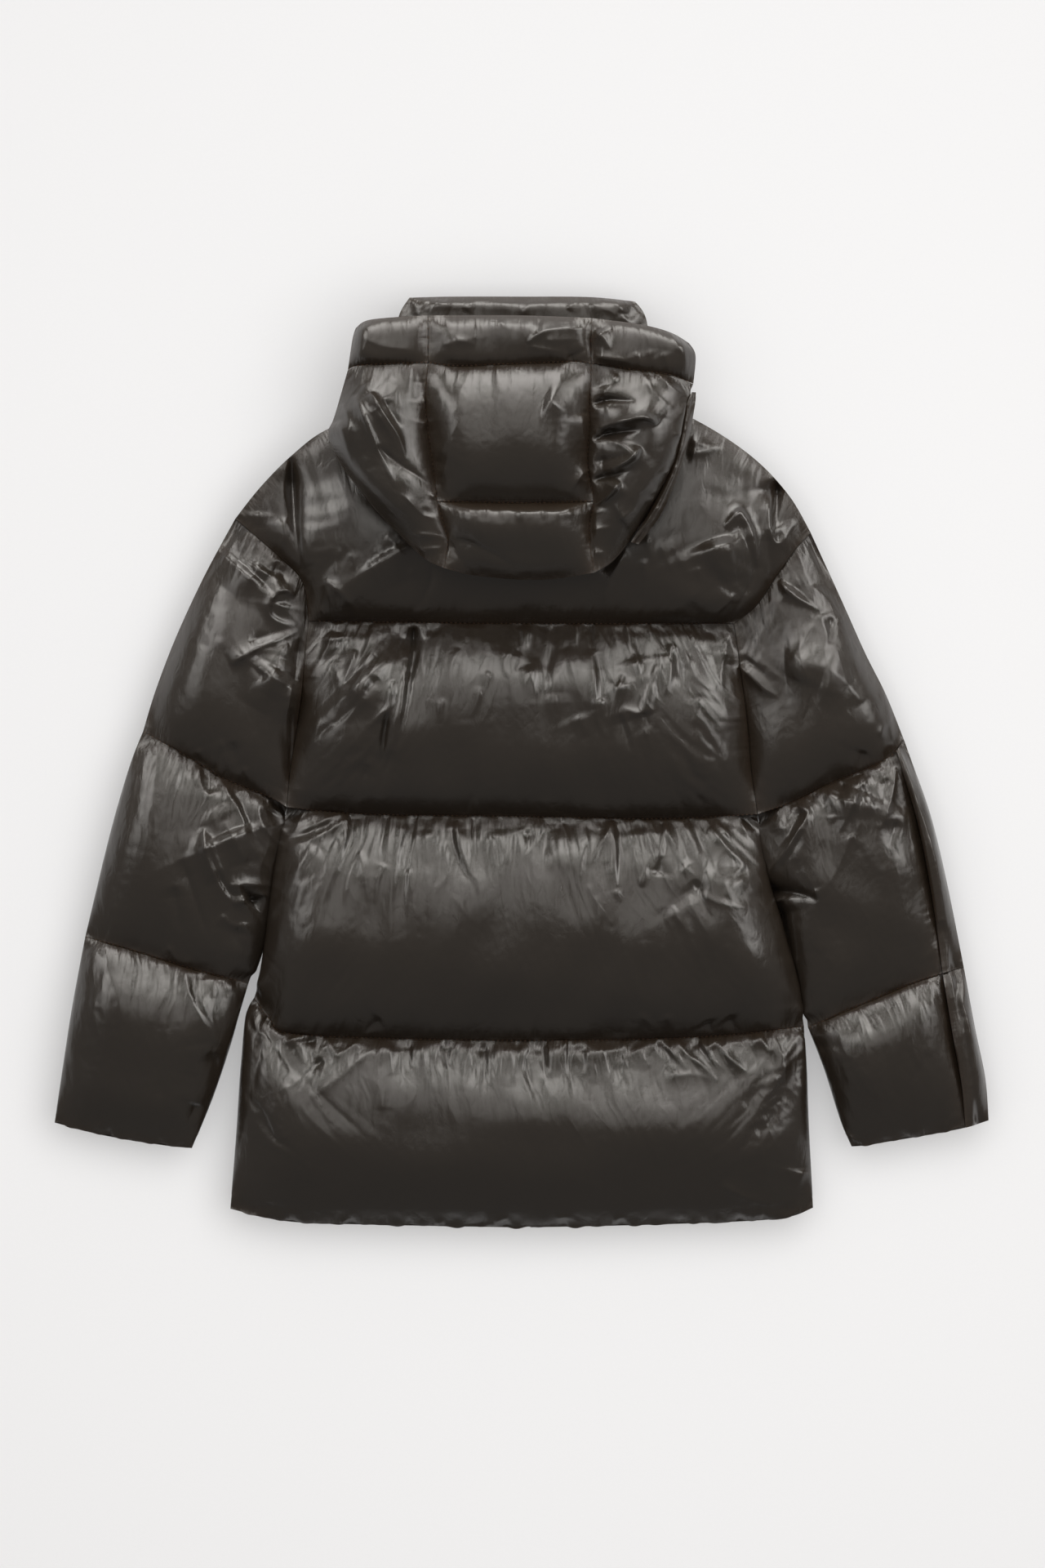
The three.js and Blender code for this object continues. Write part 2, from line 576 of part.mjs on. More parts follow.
// The hood: its hidden layer is one rounded solid on the yoke and collar, its outer pieces lie on that.
function addHood() {
  const seams = { top: edge.hoodSeam, bottom: edge.hoodSeam, left: edge.hoodSeam, right: edge.hoodSeam };
  const over = { plane: hoodMiddle + layerGap, gap: curvedSeamGap };
  const brim = { height: puff.brim, rows: 6 };
  const centre = { columns: 14 };
  const side = { height: puff.hoodSide, columns: 10, rows: 16 };
  const { cross: [leftCross, rightCross], seamLeft, seamRight } = hood;
  const pieces = [
    { name: "hood_brim_left", top: hood.brimTopLeft, bottom: hood.brimSeamLeft,
      left: hood.brimEndLeft, right: hood.brimJoinLeft,
      look: { ...brim, columns: 9 }, kinds: { top: edge.brimEdge, left: edge.hoodOutline } },
    { name: "hood_brim_centre", top: hood.brimTopCentre, bottom: hood.brimSeamCentre,
      left: hood.brimJoinLeft, right: hood.brimJoinRight,
      look: { ...brim, ...centre }, kinds: { top: edge.brimEdge } },
    { name: "hood_brim_right", top: hood.brimTopRight, bottom: hood.brimSeamRight,
      left: hood.brimJoinRight, right: hood.brimEndRight,
      look: { ...brim, columns: 9 }, kinds: { top: edge.brimEdge, right: edge.hoodOutline } },
    { name: "hood_centre_upper", top: hood.brimSeamCentre, bottom: hood.crossSeam,
      left: between(seamLeft, 0, leftCross), right: between(seamRight, 0, rightCross),
      look: { ...centre, height: puff.hood, rows: 9 }, kinds: {} },
    { name: "hood_centre_lower", top: hood.crossSeam, bottom: hood.bottomCentre,
      left: between(seamLeft, leftCross, seamLeft.length - 1),
      right: between(seamRight, rightCross, seamRight.length - 1),
      look: { ...centre, height: puff.hoodSide, rows: 8, gather: gathers.hood },
      kinds: { bottom: edge.hoodOutline } },
    { name: "hood_side_left", top: hood.brimSeamLeft, bottom: hood.bottomLeft, left: hood.outlineLeft,
      right: seamLeft, look: side, kinds: { bottom: edge.hoodOutline, left: edge.hoodOutline } },
    { name: "hood_side_right", top: hood.brimSeamRight, bottom: hood.bottomRight, left: seamRight,
      right: hood.outlineRight, look: side, kinds: { bottom: edge.hoodOutline, right: edge.hoodOutline } },
  ];
  for (const { name, look, kinds, ...edges } of pieces) {
    add(name, paddedPiece(name, edges, { ...over, ...look, kinds: { ...seams, ...kinds } }), hoodCloth);
  }
  const inner = brimTurn.map((row) => ({ x: row.innerX, y: row.innerY }));
  const outer = brimTurn.map((row) => ({ x: row.outerX, y: row.outerY }));
  const last = brimTurn.length - 1;
  const turn = { top: [inner[0], outer[0]], bottom: [inner[last], outer[last]], left: inner, right: outer };
  add("hood_brim_turn", paddedPiece("hood_brim_turn", turn, {
    ...over, height: puff.strip, columns: 3, rows: 18,
    kinds: { top: edge.brimEdge, bottom: edge.brimEdge, left: edge.stripInner, right: edge.stripOuter },
  }), hoodCloth);
  const supports = ["back_yoke", "collar_back"].map((name) => jacket.getObjectByName(name));
  add("hood_under", hoodUnder(supports), hoodCloth);
}

// Height of whatever lies highest within a distance of a place, and nowhere lower than the collar.
function highestNear(supports, x, y, reach) {
  const down = new THREE.Vector3(0, 0, -1);
  let highest = middle + puff.collar;
  for (const share of [0, 0.5, 1]) {
    const directions = share ? 10 : 1;
    for (let i = 0; i < directions; i += 1) {
      const angle = (2 * Math.PI * i) / directions;
      const step = new THREE.Vector3(Math.cos(angle), Math.sin(angle), 0).multiplyScalar(share * reach);
      const ray = new THREE.Raycaster(step.add(new THREE.Vector3(x, y, hoodMiddle)), down);
      for (const hit of ray.intersectObjects(supports)) highest = Math.max(highest, hit.point.z);
    }
  }
  return highest;
}

// The hood's hidden layer: rings of its outline, flat on top, on what lies under it below.
function hoodUnder(supports) {
  const outline = [
    hood.brimTopLeft, hood.brimTopCentre, hood.brimTopRight, hood.brimEndRight,
    brimTurn.map((row) => ({ x: row.outerX, y: row.outerY })),
    ...[hood.bottomRight.slice(0, 2), hood.bottomCentre, hood.bottomLeft].map(reversed),
    ...[hood.outlineLeft, hood.brimEndLeft].map(reversed),
  ];
  const pointsEach = 6;
  const ring = outline.flatMap((list) => stretch(list, 0, 1 - 1 / pointsEach, pointsEach));
  const centre = ring.reduce((sum, p) => sum.add(p), new THREE.Vector2()).divideScalar(ring.length);
  const edgeInset = 11;
  const sharesOut = [1, 2, 3, 4, 5, 6, 7, 8, 9].map((step) => step / 9);
  const rings = [
    ...sharesOut.map((out) => ({ out, inset: edgeInset, share: 0 })),
    { out: 1, inset: 4, share: 0.5 }, { out: 1, inset: 5, share: 1 },
  ];
  const position = [];
  const vertex = (x, y, share) => {
    const low = hoodClearance + highestNear(supports, x, y, supportReach);
    return position.push(x, y, lerp(low, hoodMiddle, share)) / 3 - 1;
  };
  const indexRings = rings.map(({ out, inset, share }) => ring.map((p) => {
    const spoke = p.clone().sub(centre);
    const place = centre.clone().add(spoke.setLength(out * (spoke.length() - inset)));
    return vertex(place.x, place.y, share);
  }));
  const bottomCentre = vertex(centre.x, centre.y, 0);
  const topCentre = vertex(centre.x, centre.y, 1);
  const faces = [];
  const count = ring.length;
  const topRing = indexRings[rings.length - 1];
  for (let k = 0; k < count; k += 1) {
    const next = (k + 1) % count;
    for (let r = 1; r < indexRings.length; r += 1) {
      const [low, high] = [indexRings[r - 1], indexRings[r]];
      faces.push([low[k], high[k], low[next]], [low[next], high[k], high[next]]);
    }
    faces.push([bottomCentre, indexRings[0][k], indexRings[0][next]]);
    faces.push([topCentre, topRing[next], topRing[k]]);
  }
  const geometry = new THREE.BufferGeometry();
  geometry.setAttribute("position", new THREE.Float32BufferAttribute(position, 3));
  geometry.setIndex(faces.flat());
  return geometry;
}

addBack();
addFront("left");
addFront("right");
addSleeve("left");
addSleeve("right");
addCollar();
addZip();
addHood();

export default jacket;
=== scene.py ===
# A glossy down jacket, laid face down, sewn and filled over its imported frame.
import bmesh
import bpy
import math
import numpy as np
from mathutils import Matrix, Vector


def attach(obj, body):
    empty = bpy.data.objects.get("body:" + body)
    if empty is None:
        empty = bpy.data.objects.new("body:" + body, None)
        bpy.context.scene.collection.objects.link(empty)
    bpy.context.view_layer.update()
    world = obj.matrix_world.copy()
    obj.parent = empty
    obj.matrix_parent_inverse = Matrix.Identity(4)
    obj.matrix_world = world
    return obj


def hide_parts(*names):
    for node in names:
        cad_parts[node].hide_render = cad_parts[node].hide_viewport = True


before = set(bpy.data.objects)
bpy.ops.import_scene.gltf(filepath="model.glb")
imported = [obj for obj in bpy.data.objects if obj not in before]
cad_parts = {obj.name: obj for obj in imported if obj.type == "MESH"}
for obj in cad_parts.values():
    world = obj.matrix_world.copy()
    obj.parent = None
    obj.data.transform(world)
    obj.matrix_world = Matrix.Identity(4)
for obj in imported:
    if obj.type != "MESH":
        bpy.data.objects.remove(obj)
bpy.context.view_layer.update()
print("frame loaded:", len(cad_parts), "nodes")

mm = 0.001

# In mm: the planes that the pieces lie on, the room left at each seam, and the closed zip's half width.
lying = {"front": 40.0, "back": 40.3, "hood": 98.3, "turn": 39.0, "gap": 0.22, "zipEdge": 7.6}

# The cut in mm, seen from above: x across the back, y from the hem to the collar.
cut = {
    "shoulder": [(-253, 214), (-230, 243), (-202, 271), (-170, 294), (-108, 316), (0, 306),
                 (108, 318), (154, 301), (202, 270), (235, 236), (255, 202)],
    "chest": [(-188, 124), (0, 122), (187, 122)],
    "waist": [(-207, -40), (-136, -46), (0, -48), (120, -50), (208, -46)],
    "hemSeam": [(-236, -208), (-222, -227), (-206, -239), (-136, -243),
                (0, -245.5), (116, -244), (188, -240), (249, -233)],
    "hem": [(-257, -394), (-208, -405), (-136, -408), (0, -410.4), (116, -408), (224, -403), (257, -393)],
    "armUpperL": [(-253, 214), (-244, 207), (-212, 179), (-193, 158), (-188, 124)],
    "armLowerL": [(-188, 124), (-191, 95), (-194, 60), (-199, 24), (-204, -6), (-207, -40)],
    "armUpperR": [(255, 202), (242, 188), (225, 164), (207, 138), (187, 122)],
    "armLowerR": [(187, 122), (191, 96), (196, 60), (200, 24), (203, -12), (208, -46)],
    "sideWaistL": [(-207, -40), (-215, -81), (-219, -113), (-224, -156), (-229, -185), (-236, -208)],
    "sideHemL": [(-236, -208), (-243, -222), (-247, -264), (-251, -322), (-257, -394)],
    "sideWaistR": [(208, -46), (217, -109), (224, -131), (231, -156), (242, -192), (249, -233)],
    "sideHemR": [(249, -233), (251, -279), (253, -322), (257, -393)],
    "outUpperL": [(-253, 214), (-280, 164), (-305, 110), (-323, 63), (-334, 27)],
    "outMiddleL": [(-334, 27), (-345, -1), (-359, -48), (-370, -91), (-385, -154)],
    "outCuffL": [(-385, -154), (-395, -207), (-404, -264), (-412, -318)],
    "inMiddleL": [(-207, -40), (-218, -81), (-222, -113), (-228, -156), (-241, -195)],
    "inCuffL": [(-241, -195), (-249, -222), (-258, -253), (-273, -297), (-291, -340.5)],
    "elbowL": [(-334, 27), (-309, 13), (-280, -4), (-262, -15), (-222, -31), (-207, -40)],
    "wristL": [(-385, -154), (-352, -163), (-316, -174), (-287, -183), (-241, -195)],
    "cuffL": [(-412, -318), (-370, -329), (-316, -338), (-291, -340.5)],
    "outUpperR": [(255, 202), (282, 143), (303, 96), (321, 60), (337, 20)],
    "outMiddleR": [(337, 20), (346, -5), (361, -48), (375, -106), (390, -181)],
    "outCuffR": [(390, -181), (400, -235), (409, -279), (411.9, -316)],
    "inMiddleR": [(208, -46), (221, -109), (228, -131), (236, -156), (247, -192), (252.5, -234)],
    "inCuffR": [(252.5, -234), (267, -271), (281, -315), (291, -339)],
    "elbowR": [(337, 20), (326, 6), (303, -6.5), (274, -18), (242, -34), (208, -46)],
    "wristR": [(390, -181), (346, -194), (303, -212), (281, -221), (252.5, -234)],
    "cuffR": [(411.9, -316), (389, -323), (346, -331), (303, -338), (291, -339)],
    "collarTop": [(-99, 409.5), (-60, 410.4), (0, 410.4), (60, 410), (100, 406)],
    "collarL": [(-99, 409.5), (-109, 391), (-112, 350), (-108, 316)],
    "collarR": [(100, 406), (110, 390), (113, 350), (108, 318)],
    "brimTopL": [(-146, 381), (-136, 388), (-109, 391), (-82, 392.4)],
    "brimTopC": [(-82, 392.4), (0, 392.4), (61, 390)],
    "brimTopR": [(61, 390), (94, 386), (116, 382), (134, 376), (147, 368)],
    "brimEndL": [(-146, 381), (-149, 371), (-153, 344)],
    "brimEndR": [(147, 368), (153, 357), (151, 332)],
    "brimSeamL": [(-153, 344), (-143, 348), (-109, 350), (-82, 350.6)],
    "brimSeamC": [(-82, 350.6), (-57, 348), (0, 350), (44, 351.4), (61, 350)],
    "brimSeamR": [(61, 350), (101, 344), (130, 340), (151, 332)],
    "brimJoinL": [(-82, 392.4), (-82, 350.6)],
    "brimJoinR": [(61, 390), (61, 350)],
    "hoodSeamL": [(-82, 350.6), (-85, 319), (-82, 290), (-78, 261), (-74, 229), (-69, 211), (-65, 193),
                  (-68, 170)],
    "hoodSeamR": [(61, 350), (60, 312), (58, 261), (63, 229), (60, 211), (60, 189), (64, 166)],
    "hoodCross": [(-74, 229), (0, 227.5), (63, 229)],
    "hoodBottomC": [(-68, 170), (-50, 165), (-28, 162), (0, 159.8), (30, 160.6), (64, 166)],
    "hoodOutL": [(-153, 344), (-165, 303), (-170, 291), (-167, 278), (-154, 254), (-129, 222)],
    "hoodBottomL": [(-129, 222), (-114, 206), (-86, 179), (-68, 170)],
    "hoodOutR": [(151, 332), (143, 312), (137, 283), (131, 261), (109, 217)],
    "hoodBottomR": [(64, 166), (80, 176), (94, 193), (109, 217)],
    "turnTop": [(149.4, 325), (153.2, 325)],
    "turnBottom": [(95.5, 193), (103, 191)],
    "turnInner": [(149.4, 325), (144, 312), (138, 283), (132, 261), (122, 239), (110.5, 217), (95.5, 193)],
    "turnOuter": [(153.2, 325), (152.5, 313), (147, 283), (141, 262), (133, 240), (121, 215), (103, 191)],
}
spanSteps = 16


# A smooth line through the cut's points, in metres.
def smoothLine(points, steps=spanSteps):
    p = np.array(points, float) * mm
    ends = np.vstack([p[:1], p, p[-1:]])
    t = np.linspace(0, 1, steps, endpoint=False)[:, None]
    spans = []
    for i in range(len(p) - 1):
        p0, p1, p2, p3 = ends[i:i + 4]
        m1, m2 = (p2 - p0) / 2, (p3 - p1) / 2
        cubic, square = 2 * p1 - 2 * p2 + m1 + m2, 3 * p2 - 3 * p1 - 2 * m1 - m2
        spans.append(cubic * t ** 3 + square * t ** 2 + m1 * t + p1)
    return np.vstack(spans + [p[-1:]])


def lengthsAlong(line):
    return np.concatenate([[0], np.cumsum(np.hypot(*np.diff(line, axis=0).T))])


def pointAt(line, share):
    s = lengthsAlong(line)
    return np.stack([np.interp(share * s[-1], s, line[:, axis]) for axis in (0, 1)], -1)


# Places on the patch between four lines; u runs left to right and v top to bottom.
def patchPoints(edges, u, v):
    top, bottom, left, right = edges
    u2, v2 = u[:, None], v[:, None]
    corners = (1 - v2) * ((1 - u2) * top[0] + u2 * top[-1]) + v2 * ((1 - u2) * bottom[0] + u2 * bottom[-1])
    return ((1 - v2) * pointAt(top, u) + v2 * pointAt(bottom, u)
            + (1 - u2) * pointAt(left, v) + u2 * pointAt(right, v) - corners)


def smoothStep(x):
    x = np.clip(x, 0, 1)
    return x * x * (3 - 2 * x)


lines = {name: smoothLine(points) for name, points in cut.items()}
lines["neck"] = lines["shoulder"][spanSteps * 4:spanSteps * 6 + 1]
lines["hoodSeamUpL"] = lines["hoodSeamL"][:spanSteps * 4 + 1]
lines["hoodSeamLowL"] = lines["hoodSeamL"][spanSteps * 4:]
lines["hoodSeamUpR"] = lines["hoodSeamR"][:spanSteps * 3 + 1]
lines["hoodSeamLowR"] = lines["hoodSeamR"][spanSteps * 3:]

# The fronts follow the back's seams from the side as far as the zip; only their neckline is lower.
frontLevels = {"shoulder": 268, "chest": 122, "waist": -48, "hemSeam": -245.5, "hem": -410.4}
frontCut = {"nearZip": 18, "neckPoint": (0.55, 0.7), "collarTop": 409.4}


def frontLine(key, sign):
    outward = [p for p in cut[key] if sign * p[0] > frontCut["nearZip"]][::-sign]
    if key == "shoulder":
        x, y = outward[-1]
        inward, lower = frontCut["neckPoint"]
        outward.append((x * inward, y + lower * (frontLevels["shoulder"] - y)))
    toZip = smoothLine(outward + [(sign * lying["zipEdge"], frontLevels[key])])
    return toZip[::-sign]


for side, sign in (("L", -1), ("R", 1)):
    edge = sign * lying["zipEdge"]
    for key in frontLevels:
        lines[key + "Front" + side] = frontLine(key, sign)
    heights = list(frontLevels.values())
    for key, high, low in zip(("yoke", "chest", "waist", "hem"), heights, heights[1:]):
        lines[key + "Zip" + side] = smoothLine([(edge, high), (edge, low)])
    lines["collarZip" + side] = smoothLine([(edge, frontCut["collarTop"]), (edge, frontLevels["shoulder"])])
lines["collarTopFrontL"] = smoothLine([(-99, 409.5), (-60, 410.4), (-8, frontCut["collarTop"])])
lines["collarTopFrontR"] = smoothLine([(8, frontCut["collarTop"]), (60, 410), (100, 406)])
lines["neckFrontL"] = lines["shoulderFrontL"][spanSteps * 4:]
lines["neckFrontR"] = lines["shoulderFrontR"][:spanSteps * 2 + 1]

# On the right sleeve the front turns over the outer edge, this wide at the elbow, the wrist and the cuff.
turned = {"elbow": 12, "wrist": 20, "cuff": 22}


def splitForTurn(topKey, bottomKey, innerKey, outerKey, name):
    edges = [lines[topKey + "R"][::-1], lines[bottomKey + "R"][::-1], lines[innerKey], lines[outerKey]]
    shares = [1 - turned[key] * mm / lengthsAlong(edge)[-1] for key, edge in zip((topKey, bottomKey), edges)]
    v = np.linspace(0, 1, 65)
    lines["turn" + name] = patchPoints(edges, shares[0] + (shares[1] - shares[0]) * v, v)
    for key, edge, share in zip((topKey, bottomKey), edges, shares):
        lines[key + "BackR"] = pointAt(edge, np.linspace(0, share, 65))
        lines[key + "TurnR"] = pointAt(edge, np.linspace(share, 1, 9))


splitForTurn("elbow", "wrist", "inMiddleR", "outMiddleR", "Middle")
splitForTurn("wrist", "cuff", "inCuffR", "outCuffR", "Cuff")

# Each panel: its four lines (a minus turns one round), its heights in mm, and how it was sewn.
# ends and sides are the seams' heights over the plane; crest and arch shape the rise between them.
# ease is how much wider than the seam the cloth was cut: at the top seam, at the bottom seam, and lengthwise.
# gathers are the folds that the seams pull in: how strong at top, bottom, left and right, and how they lean.
# calm fades the fine streaks, as if the seam were so many mm further off; creased scales the drawn creases.
body = {"plane": lying["back"], "height": 50, "ends": (13, 13), "sides": (15, 15),
        "ease": (0.08, 0.06, 0.06), "folds": 24,
        "foldDepth": 3.0, "foldRun": 0.5, "slot": "shell", "spacing": 3.0, "reach": 48,
        "gathers": {"strong": (1, 0.5, 0.3, 0.3), "lean": (-0.3, 0.35)}}
arm = {**body, "height": 38, "sides": (3, 15), "folds": 9, "crest": 0.5, "ease": (0.13, 0.05, 0.09),
       "reach": 44,
       "gathers": {"strong": (0.8, 0.5, 0.2, 0.4), "lean": (0.3, 0.0), "run": 0.7}}
hoodCloth = {"plane": lying["hood"], "rise": 1.1, "height": 36, "ends": (14, 14), "sides": (14, 14),
             "ease": (0.07, 0.07, 0.08), "folds": 7,
             "foldDepth": 1.5, "foldRun": 0.3, "slot": "hood", "spacing": 2.5, "reach": 36,
             "gathers": {"strong": (0.45, 0.4, 0.4, 0.4), "lean": (-0.2, 0.2), "run": 0.45}}
under = {**body, "plane": lying["front"], "height": 47, "under": True, "spacing": 4.5, "sides": (3, 8),
         "gap": -0.45,
         "ease": (0.08, 0.08, 0.08), "gathers": {"strong": (0.6, 0.6, 0.3, 0.3), "lean": (-0.2, 0.2),
                                                 "run": 0.7}}
turn = {**arm, "plane": lying["turn"], "height": 25, "ends": (14, 14), "sides": (19, 5), "spacing": 2.5,
        "folds": 2, "reach": 9,
        "ease": (0.1, 0.1, 0.04), "gathers": {"strong": (0.4, 0.4, 0, 0), "lean": (0, 0), "run": 0.5}}
panels = {
    "backYoke": {**body, "node": "back_yoke", "lines": ("shoulder", "chest", "armUpperL", "armUpperR"),
                 "height": 45, "ends": (16, 13), "ease": (0.04, 0.06, 0.04), "folds": 12, "foldDepth": 0.8,
                 "crest": 0.68, "arch": 3, "calm": 70,
                 "gathers": {"strong": (0.3, 0.5, 0.5, 0.6), "lean": (-0.5, 0.5), "run": 0.7}},
    "backChest": {**body, "node": "back_chest", "lines": ("chest", "waist", "armLowerL", "armLowerR"),
                  "crest": 0.6, "gathers": {**body["gathers"], "lean": (-0.45, 0.5), "run": 1.15}},
    "backWaist": {**body, "node": "back_waist", "lines": ("waist", "hemSeam", "sideWaistL", "sideWaistR"),
                  "sides": (3, 3), "gathers": {**body["gathers"], "lean": (-0.1, 0.35),
                                               "run": 1.15}, "bulge": (6.8, 6.8),
                  "crest": 0.54, "rise": 0.64},
    "backHem": {**body, "node": "back_hem", "lines": ("hemSeam", "hem", "sideHemL", "sideHemR"),
                "sides": (3, 3), "ends": (13, 7), "height": 46, "folds": 30, "foldRun": 0.4,
                "bulge": (3.5, 3.5),
                "crest": 0.3, "rise": 0.46, "wavyHem": 1.3, "creased": 1.6,
                "gathers": {"strong": (1.5, 0.7, 0.3, 0.3), "lean": (0.0, 0.3), "run": 0.7}},
    "leftSleeveUpper": {**arm, "node": "left_sleeve_back_upper", "ends": (15, 13), "foldDepth": 2,
                        "crest": 0.64, "calm": 45,
                        "lines": ("armUpperL", "elbowL", "outUpperL", "armLowerL"),
                        "gathers": {**arm["gathers"], "strong": (0.5, 0.6, 0.2, 0.5)}},
    "leftSleeveMiddle": {**arm, "node": "left_sleeve_back_middle", "sides": (3, 3), "bulge": (3, 7.5),
                         "lines": ("elbowL", "wristL", "outMiddleL", "inMiddleL")},
    "leftSleeveCuff": {**arm, "node": "left_sleeve_back_cuff", "sides": (3, 3), "bulge": (3, 3.5),
                       "ends": (13, 7), "foldDepth": 3,
                       "crest": 0.4, "wavyHem": 1.2,
                       "lines": ("wristL", "cuffL", "outCuffL", "inCuffL"),
                       "gathers": {**arm["gathers"], "strong": (0.5, 0.6, 0.1, 0.2), "run": 0.5}},
    "rightSleeveUpper": {**arm, "node": "right_sleeve_back_upper", "ends": (15, 13), "foldDepth": 2,
                         "crest": 0.68, "calm": 45,
                         "sides": (15, 3), "lines": ("-armUpperR", "-elbowR", "armLowerR", "outUpperR"),
                         "gathers": {**arm["gathers"], "strong": (0.5, 0.6, 0.2, 0.5)}},
    "rightSleeveMiddle": {**arm, "node": "right_sleeve_back_middle", "sides": (3, 14), "bulge": (7.5, 0),
                          "spacing": 2.5,
                          "crest": 0.44, "lines": ("elbowBackR", "wristBackR", "inMiddleR", "turnMiddle")},
    "rightSleeveCuff": {**arm, "node": "right_sleeve_back_cuff", "sides": (3, 14), "bulge": (3.5, 0),
                        "ends": (13, 7), "foldDepth": 3,
                        "crest": 0.34, "wavyHem": 1.2,
                        "lines": ("wristBackR", "cuffBackR", "inCuffR", "turnCuff"),
                        "gathers": {**arm["gathers"], "strong": (0.5, 0.6, 0.1, 0.2), "run": 0.5}},
    "collarBack": {**hoodCloth, "node": "collar_back", "plane": lying["back"], "height": 21,
                   "ends": (9, 16), "sides": (9, 9), "arch": 14, "rise": 3,
                   "lines": ("collarTop", "neck", "collarL", "collarR"), "reach": 24},
    "brimLeft": {**hoodCloth, "node": "hood_brim_left", "height": 23, "arch": 3.4, "ends": (9, 14),
                 "sides": (4, 14),
                 "lines": ("brimTopL", "brimSeamL", "brimEndL", "brimJoinL"), "folds": 5, "reach": 22},
    "brimCentre": {**hoodCloth, "node": "hood_brim_centre", "height": 23, "arch": 3.4, "ends": (9, 14),
                   "reach": 26,
                   "lines": ("brimTopC", "brimSeamC", "brimJoinL", "brimJoinR"), "folds": 8},
    "brimRight": {**hoodCloth, "node": "hood_brim_right", "height": 23, "arch": 3.4, "ends": (9, 14),
                  "sides": (14, 4),
                  "lines": ("brimTopR", "brimSeamR", "brimJoinR", "brimEndR"), "folds": 5, "reach": 22},
    "hoodCentreUpper": {**hoodCloth, "node": "hood_centre_upper", "height": 42, "ease": (0.04, 0.05, 0.06),
                        "lines": ("brimSeamC", "hoodCross", "hoodSeamUpL", "hoodSeamUpR")},
    "hoodCentreLower": {**hoodCloth, "node": "hood_centre_lower", "ends": (14, 4),
                        "ease": (0.12, 0.06, 0.08), "crest": 0.3, "rise": 3,
                        "lines": ("hoodCross", "hoodBottomC", "hoodSeamLowL", "hoodSeamLowR"),
                        "foldDepth": 3, "creased": 1.3},
    "hoodSideLeft": {**hoodCloth, "node": "hood_side_left", "sides": (4, 14), "ends": (14, 4),
                     "lines": ("brimSeamL", "hoodBottomL", "hoodOutL", "hoodSeamL"),
                     "ease": (0.1, 0.08, 0.08), "creased": 1.7},
    "hoodSideRight": {**hoodCloth, "node": "hood_side_right", "sides": (14, 4), "ends": (14, 4),
                      "lines": ("brimSeamR", "hoodBottomR", "hoodSeamR", "hoodOutR"), "bulge": (0, 6),
                      "creased": 1.9, "ease": (0.12, 0.08, 0.1)},
    "brimTurn": {**hoodCloth, "node": "hood_brim_turn", "height": 14, "ends": (4, 9), "sides": (9, 4),
                 "folds": 2,
                 "lines": ("turnTop", "turnBottom", "turnInner", "turnOuter"), "reach": 4, "spacing": 2.0},
    "turnMiddle": {**turn, "node": "right_sleeve_front_middle",
                   "lines": ("elbowTurnR", "wristTurnR", "turnMiddle", "outMiddleR")},
    "turnCuff": {**turn, "node": "right_sleeve_front_cuff", "ends": (14, 7),
                 "lines": ("wristTurnR", "cuffTurnR", "turnCuff", "outCuffR")},
}
levels = [("Yoke", "shoulder", "chest", "armUpper", (16, 13)),
          ("Chest", "chest", "waist", "armLower", (13, 13)),
          ("Waist", "waist", "hemSeam", "sideWaist", (13, 13)),
          ("Hem", "hemSeam", "hem", "sideHem", (13, 7))]
for level, top, bottom, edge, ends in levels:
    zipKey = level.lower() + "Zip"
    sideHeight = 15 if edge.startswith("arm") else 3
    panels["leftFront" + level] = {**under, "node": "left_front_" + level.lower(), "ends": ends,
                                   "sides": (sideHeight, 8),
                                   "lines": (top + "FrontL", bottom + "FrontL", edge + "L", zipKey + "L")}
    panels["rightFront" + level] = {**under, "node": "right_front_" + level.lower(), "ends": ends,
                                    "sides": (8, sideHeight),
                                    "lines": (top + "FrontR", bottom + "FrontR", zipKey + "R", edge + "R")}
for level, top, bottom, inner, ends in (("Upper", "armUpper", "elbow", "armLower", (15, 13)),
                                        ("Middle", "elbow", "wrist", "inMiddle", (13, 13)),
                                        ("Cuff", "wrist", "cuff", "inCuff", (13, 7))):
    innerHeight = 15 if level == "Upper" else 3
    panels["leftSleeveFront" + level] = {**under, "node": "left_sleeve_front_" + level.lower(), "ends": ends,
                                         "sides": (3, innerHeight),
                                         "lines": (top + "L", bottom + "L", "out" + level + "L", inner + "L")}
    rightLines = ("-" + top + "R", "-" + bottom + "R", inner + "R", "out" + level + "R")
    panels["rightSleeveFront" + level] = {**under, "node": "right_sleeve_front_" + level.lower(),
                                          "ends": ends, "sides": (innerHeight, 3), "lines": rightLines}
panels["collarFrontLeft"] = {**under, "node": "collar_front_left", "slot": "hood",
                             "ends": (9, 16), "sides": (9, 8),
                             "lines": ("collarTopFrontL", "neckFrontL", "collarL", "collarZipL")}
panels["collarFrontRight"] = {**under, "node": "collar_front_right", "slot": "hood",
                              "ends": (9, 16), "sides": (8, 9),
                              "lines": ("collarTopFrontR", "neckFrontR", "collarZipR", "collarR")}


def edgesOf(look):
    return [lines[key[1:]][::-1] if key.startswith("-") else lines[key] for key in look["lines"]]


def selectOnly(chosen, active):
    bpy.ops.object.select_all(action="DESELECT")
    for piece in chosen:
        piece.select_set(True)
    bpy.context.view_layer.objects.active = active


def newGrid(name, columns, rows):
    bpy.ops.object.select_all(action="DESELECT")
    bpy.ops.mesh.primitive_grid_add(x_subdivisions=columns, y_subdivisions=rows, size=2)
    piece = bpy.context.object
    piece.name = name
    piece.data.name = name
    return piece


def readPoints(mesh):
    flat = np.empty(len(mesh.vertices) * 3)
    mesh.vertices.foreach_get("co", flat)
    return flat.reshape(-1, 3)


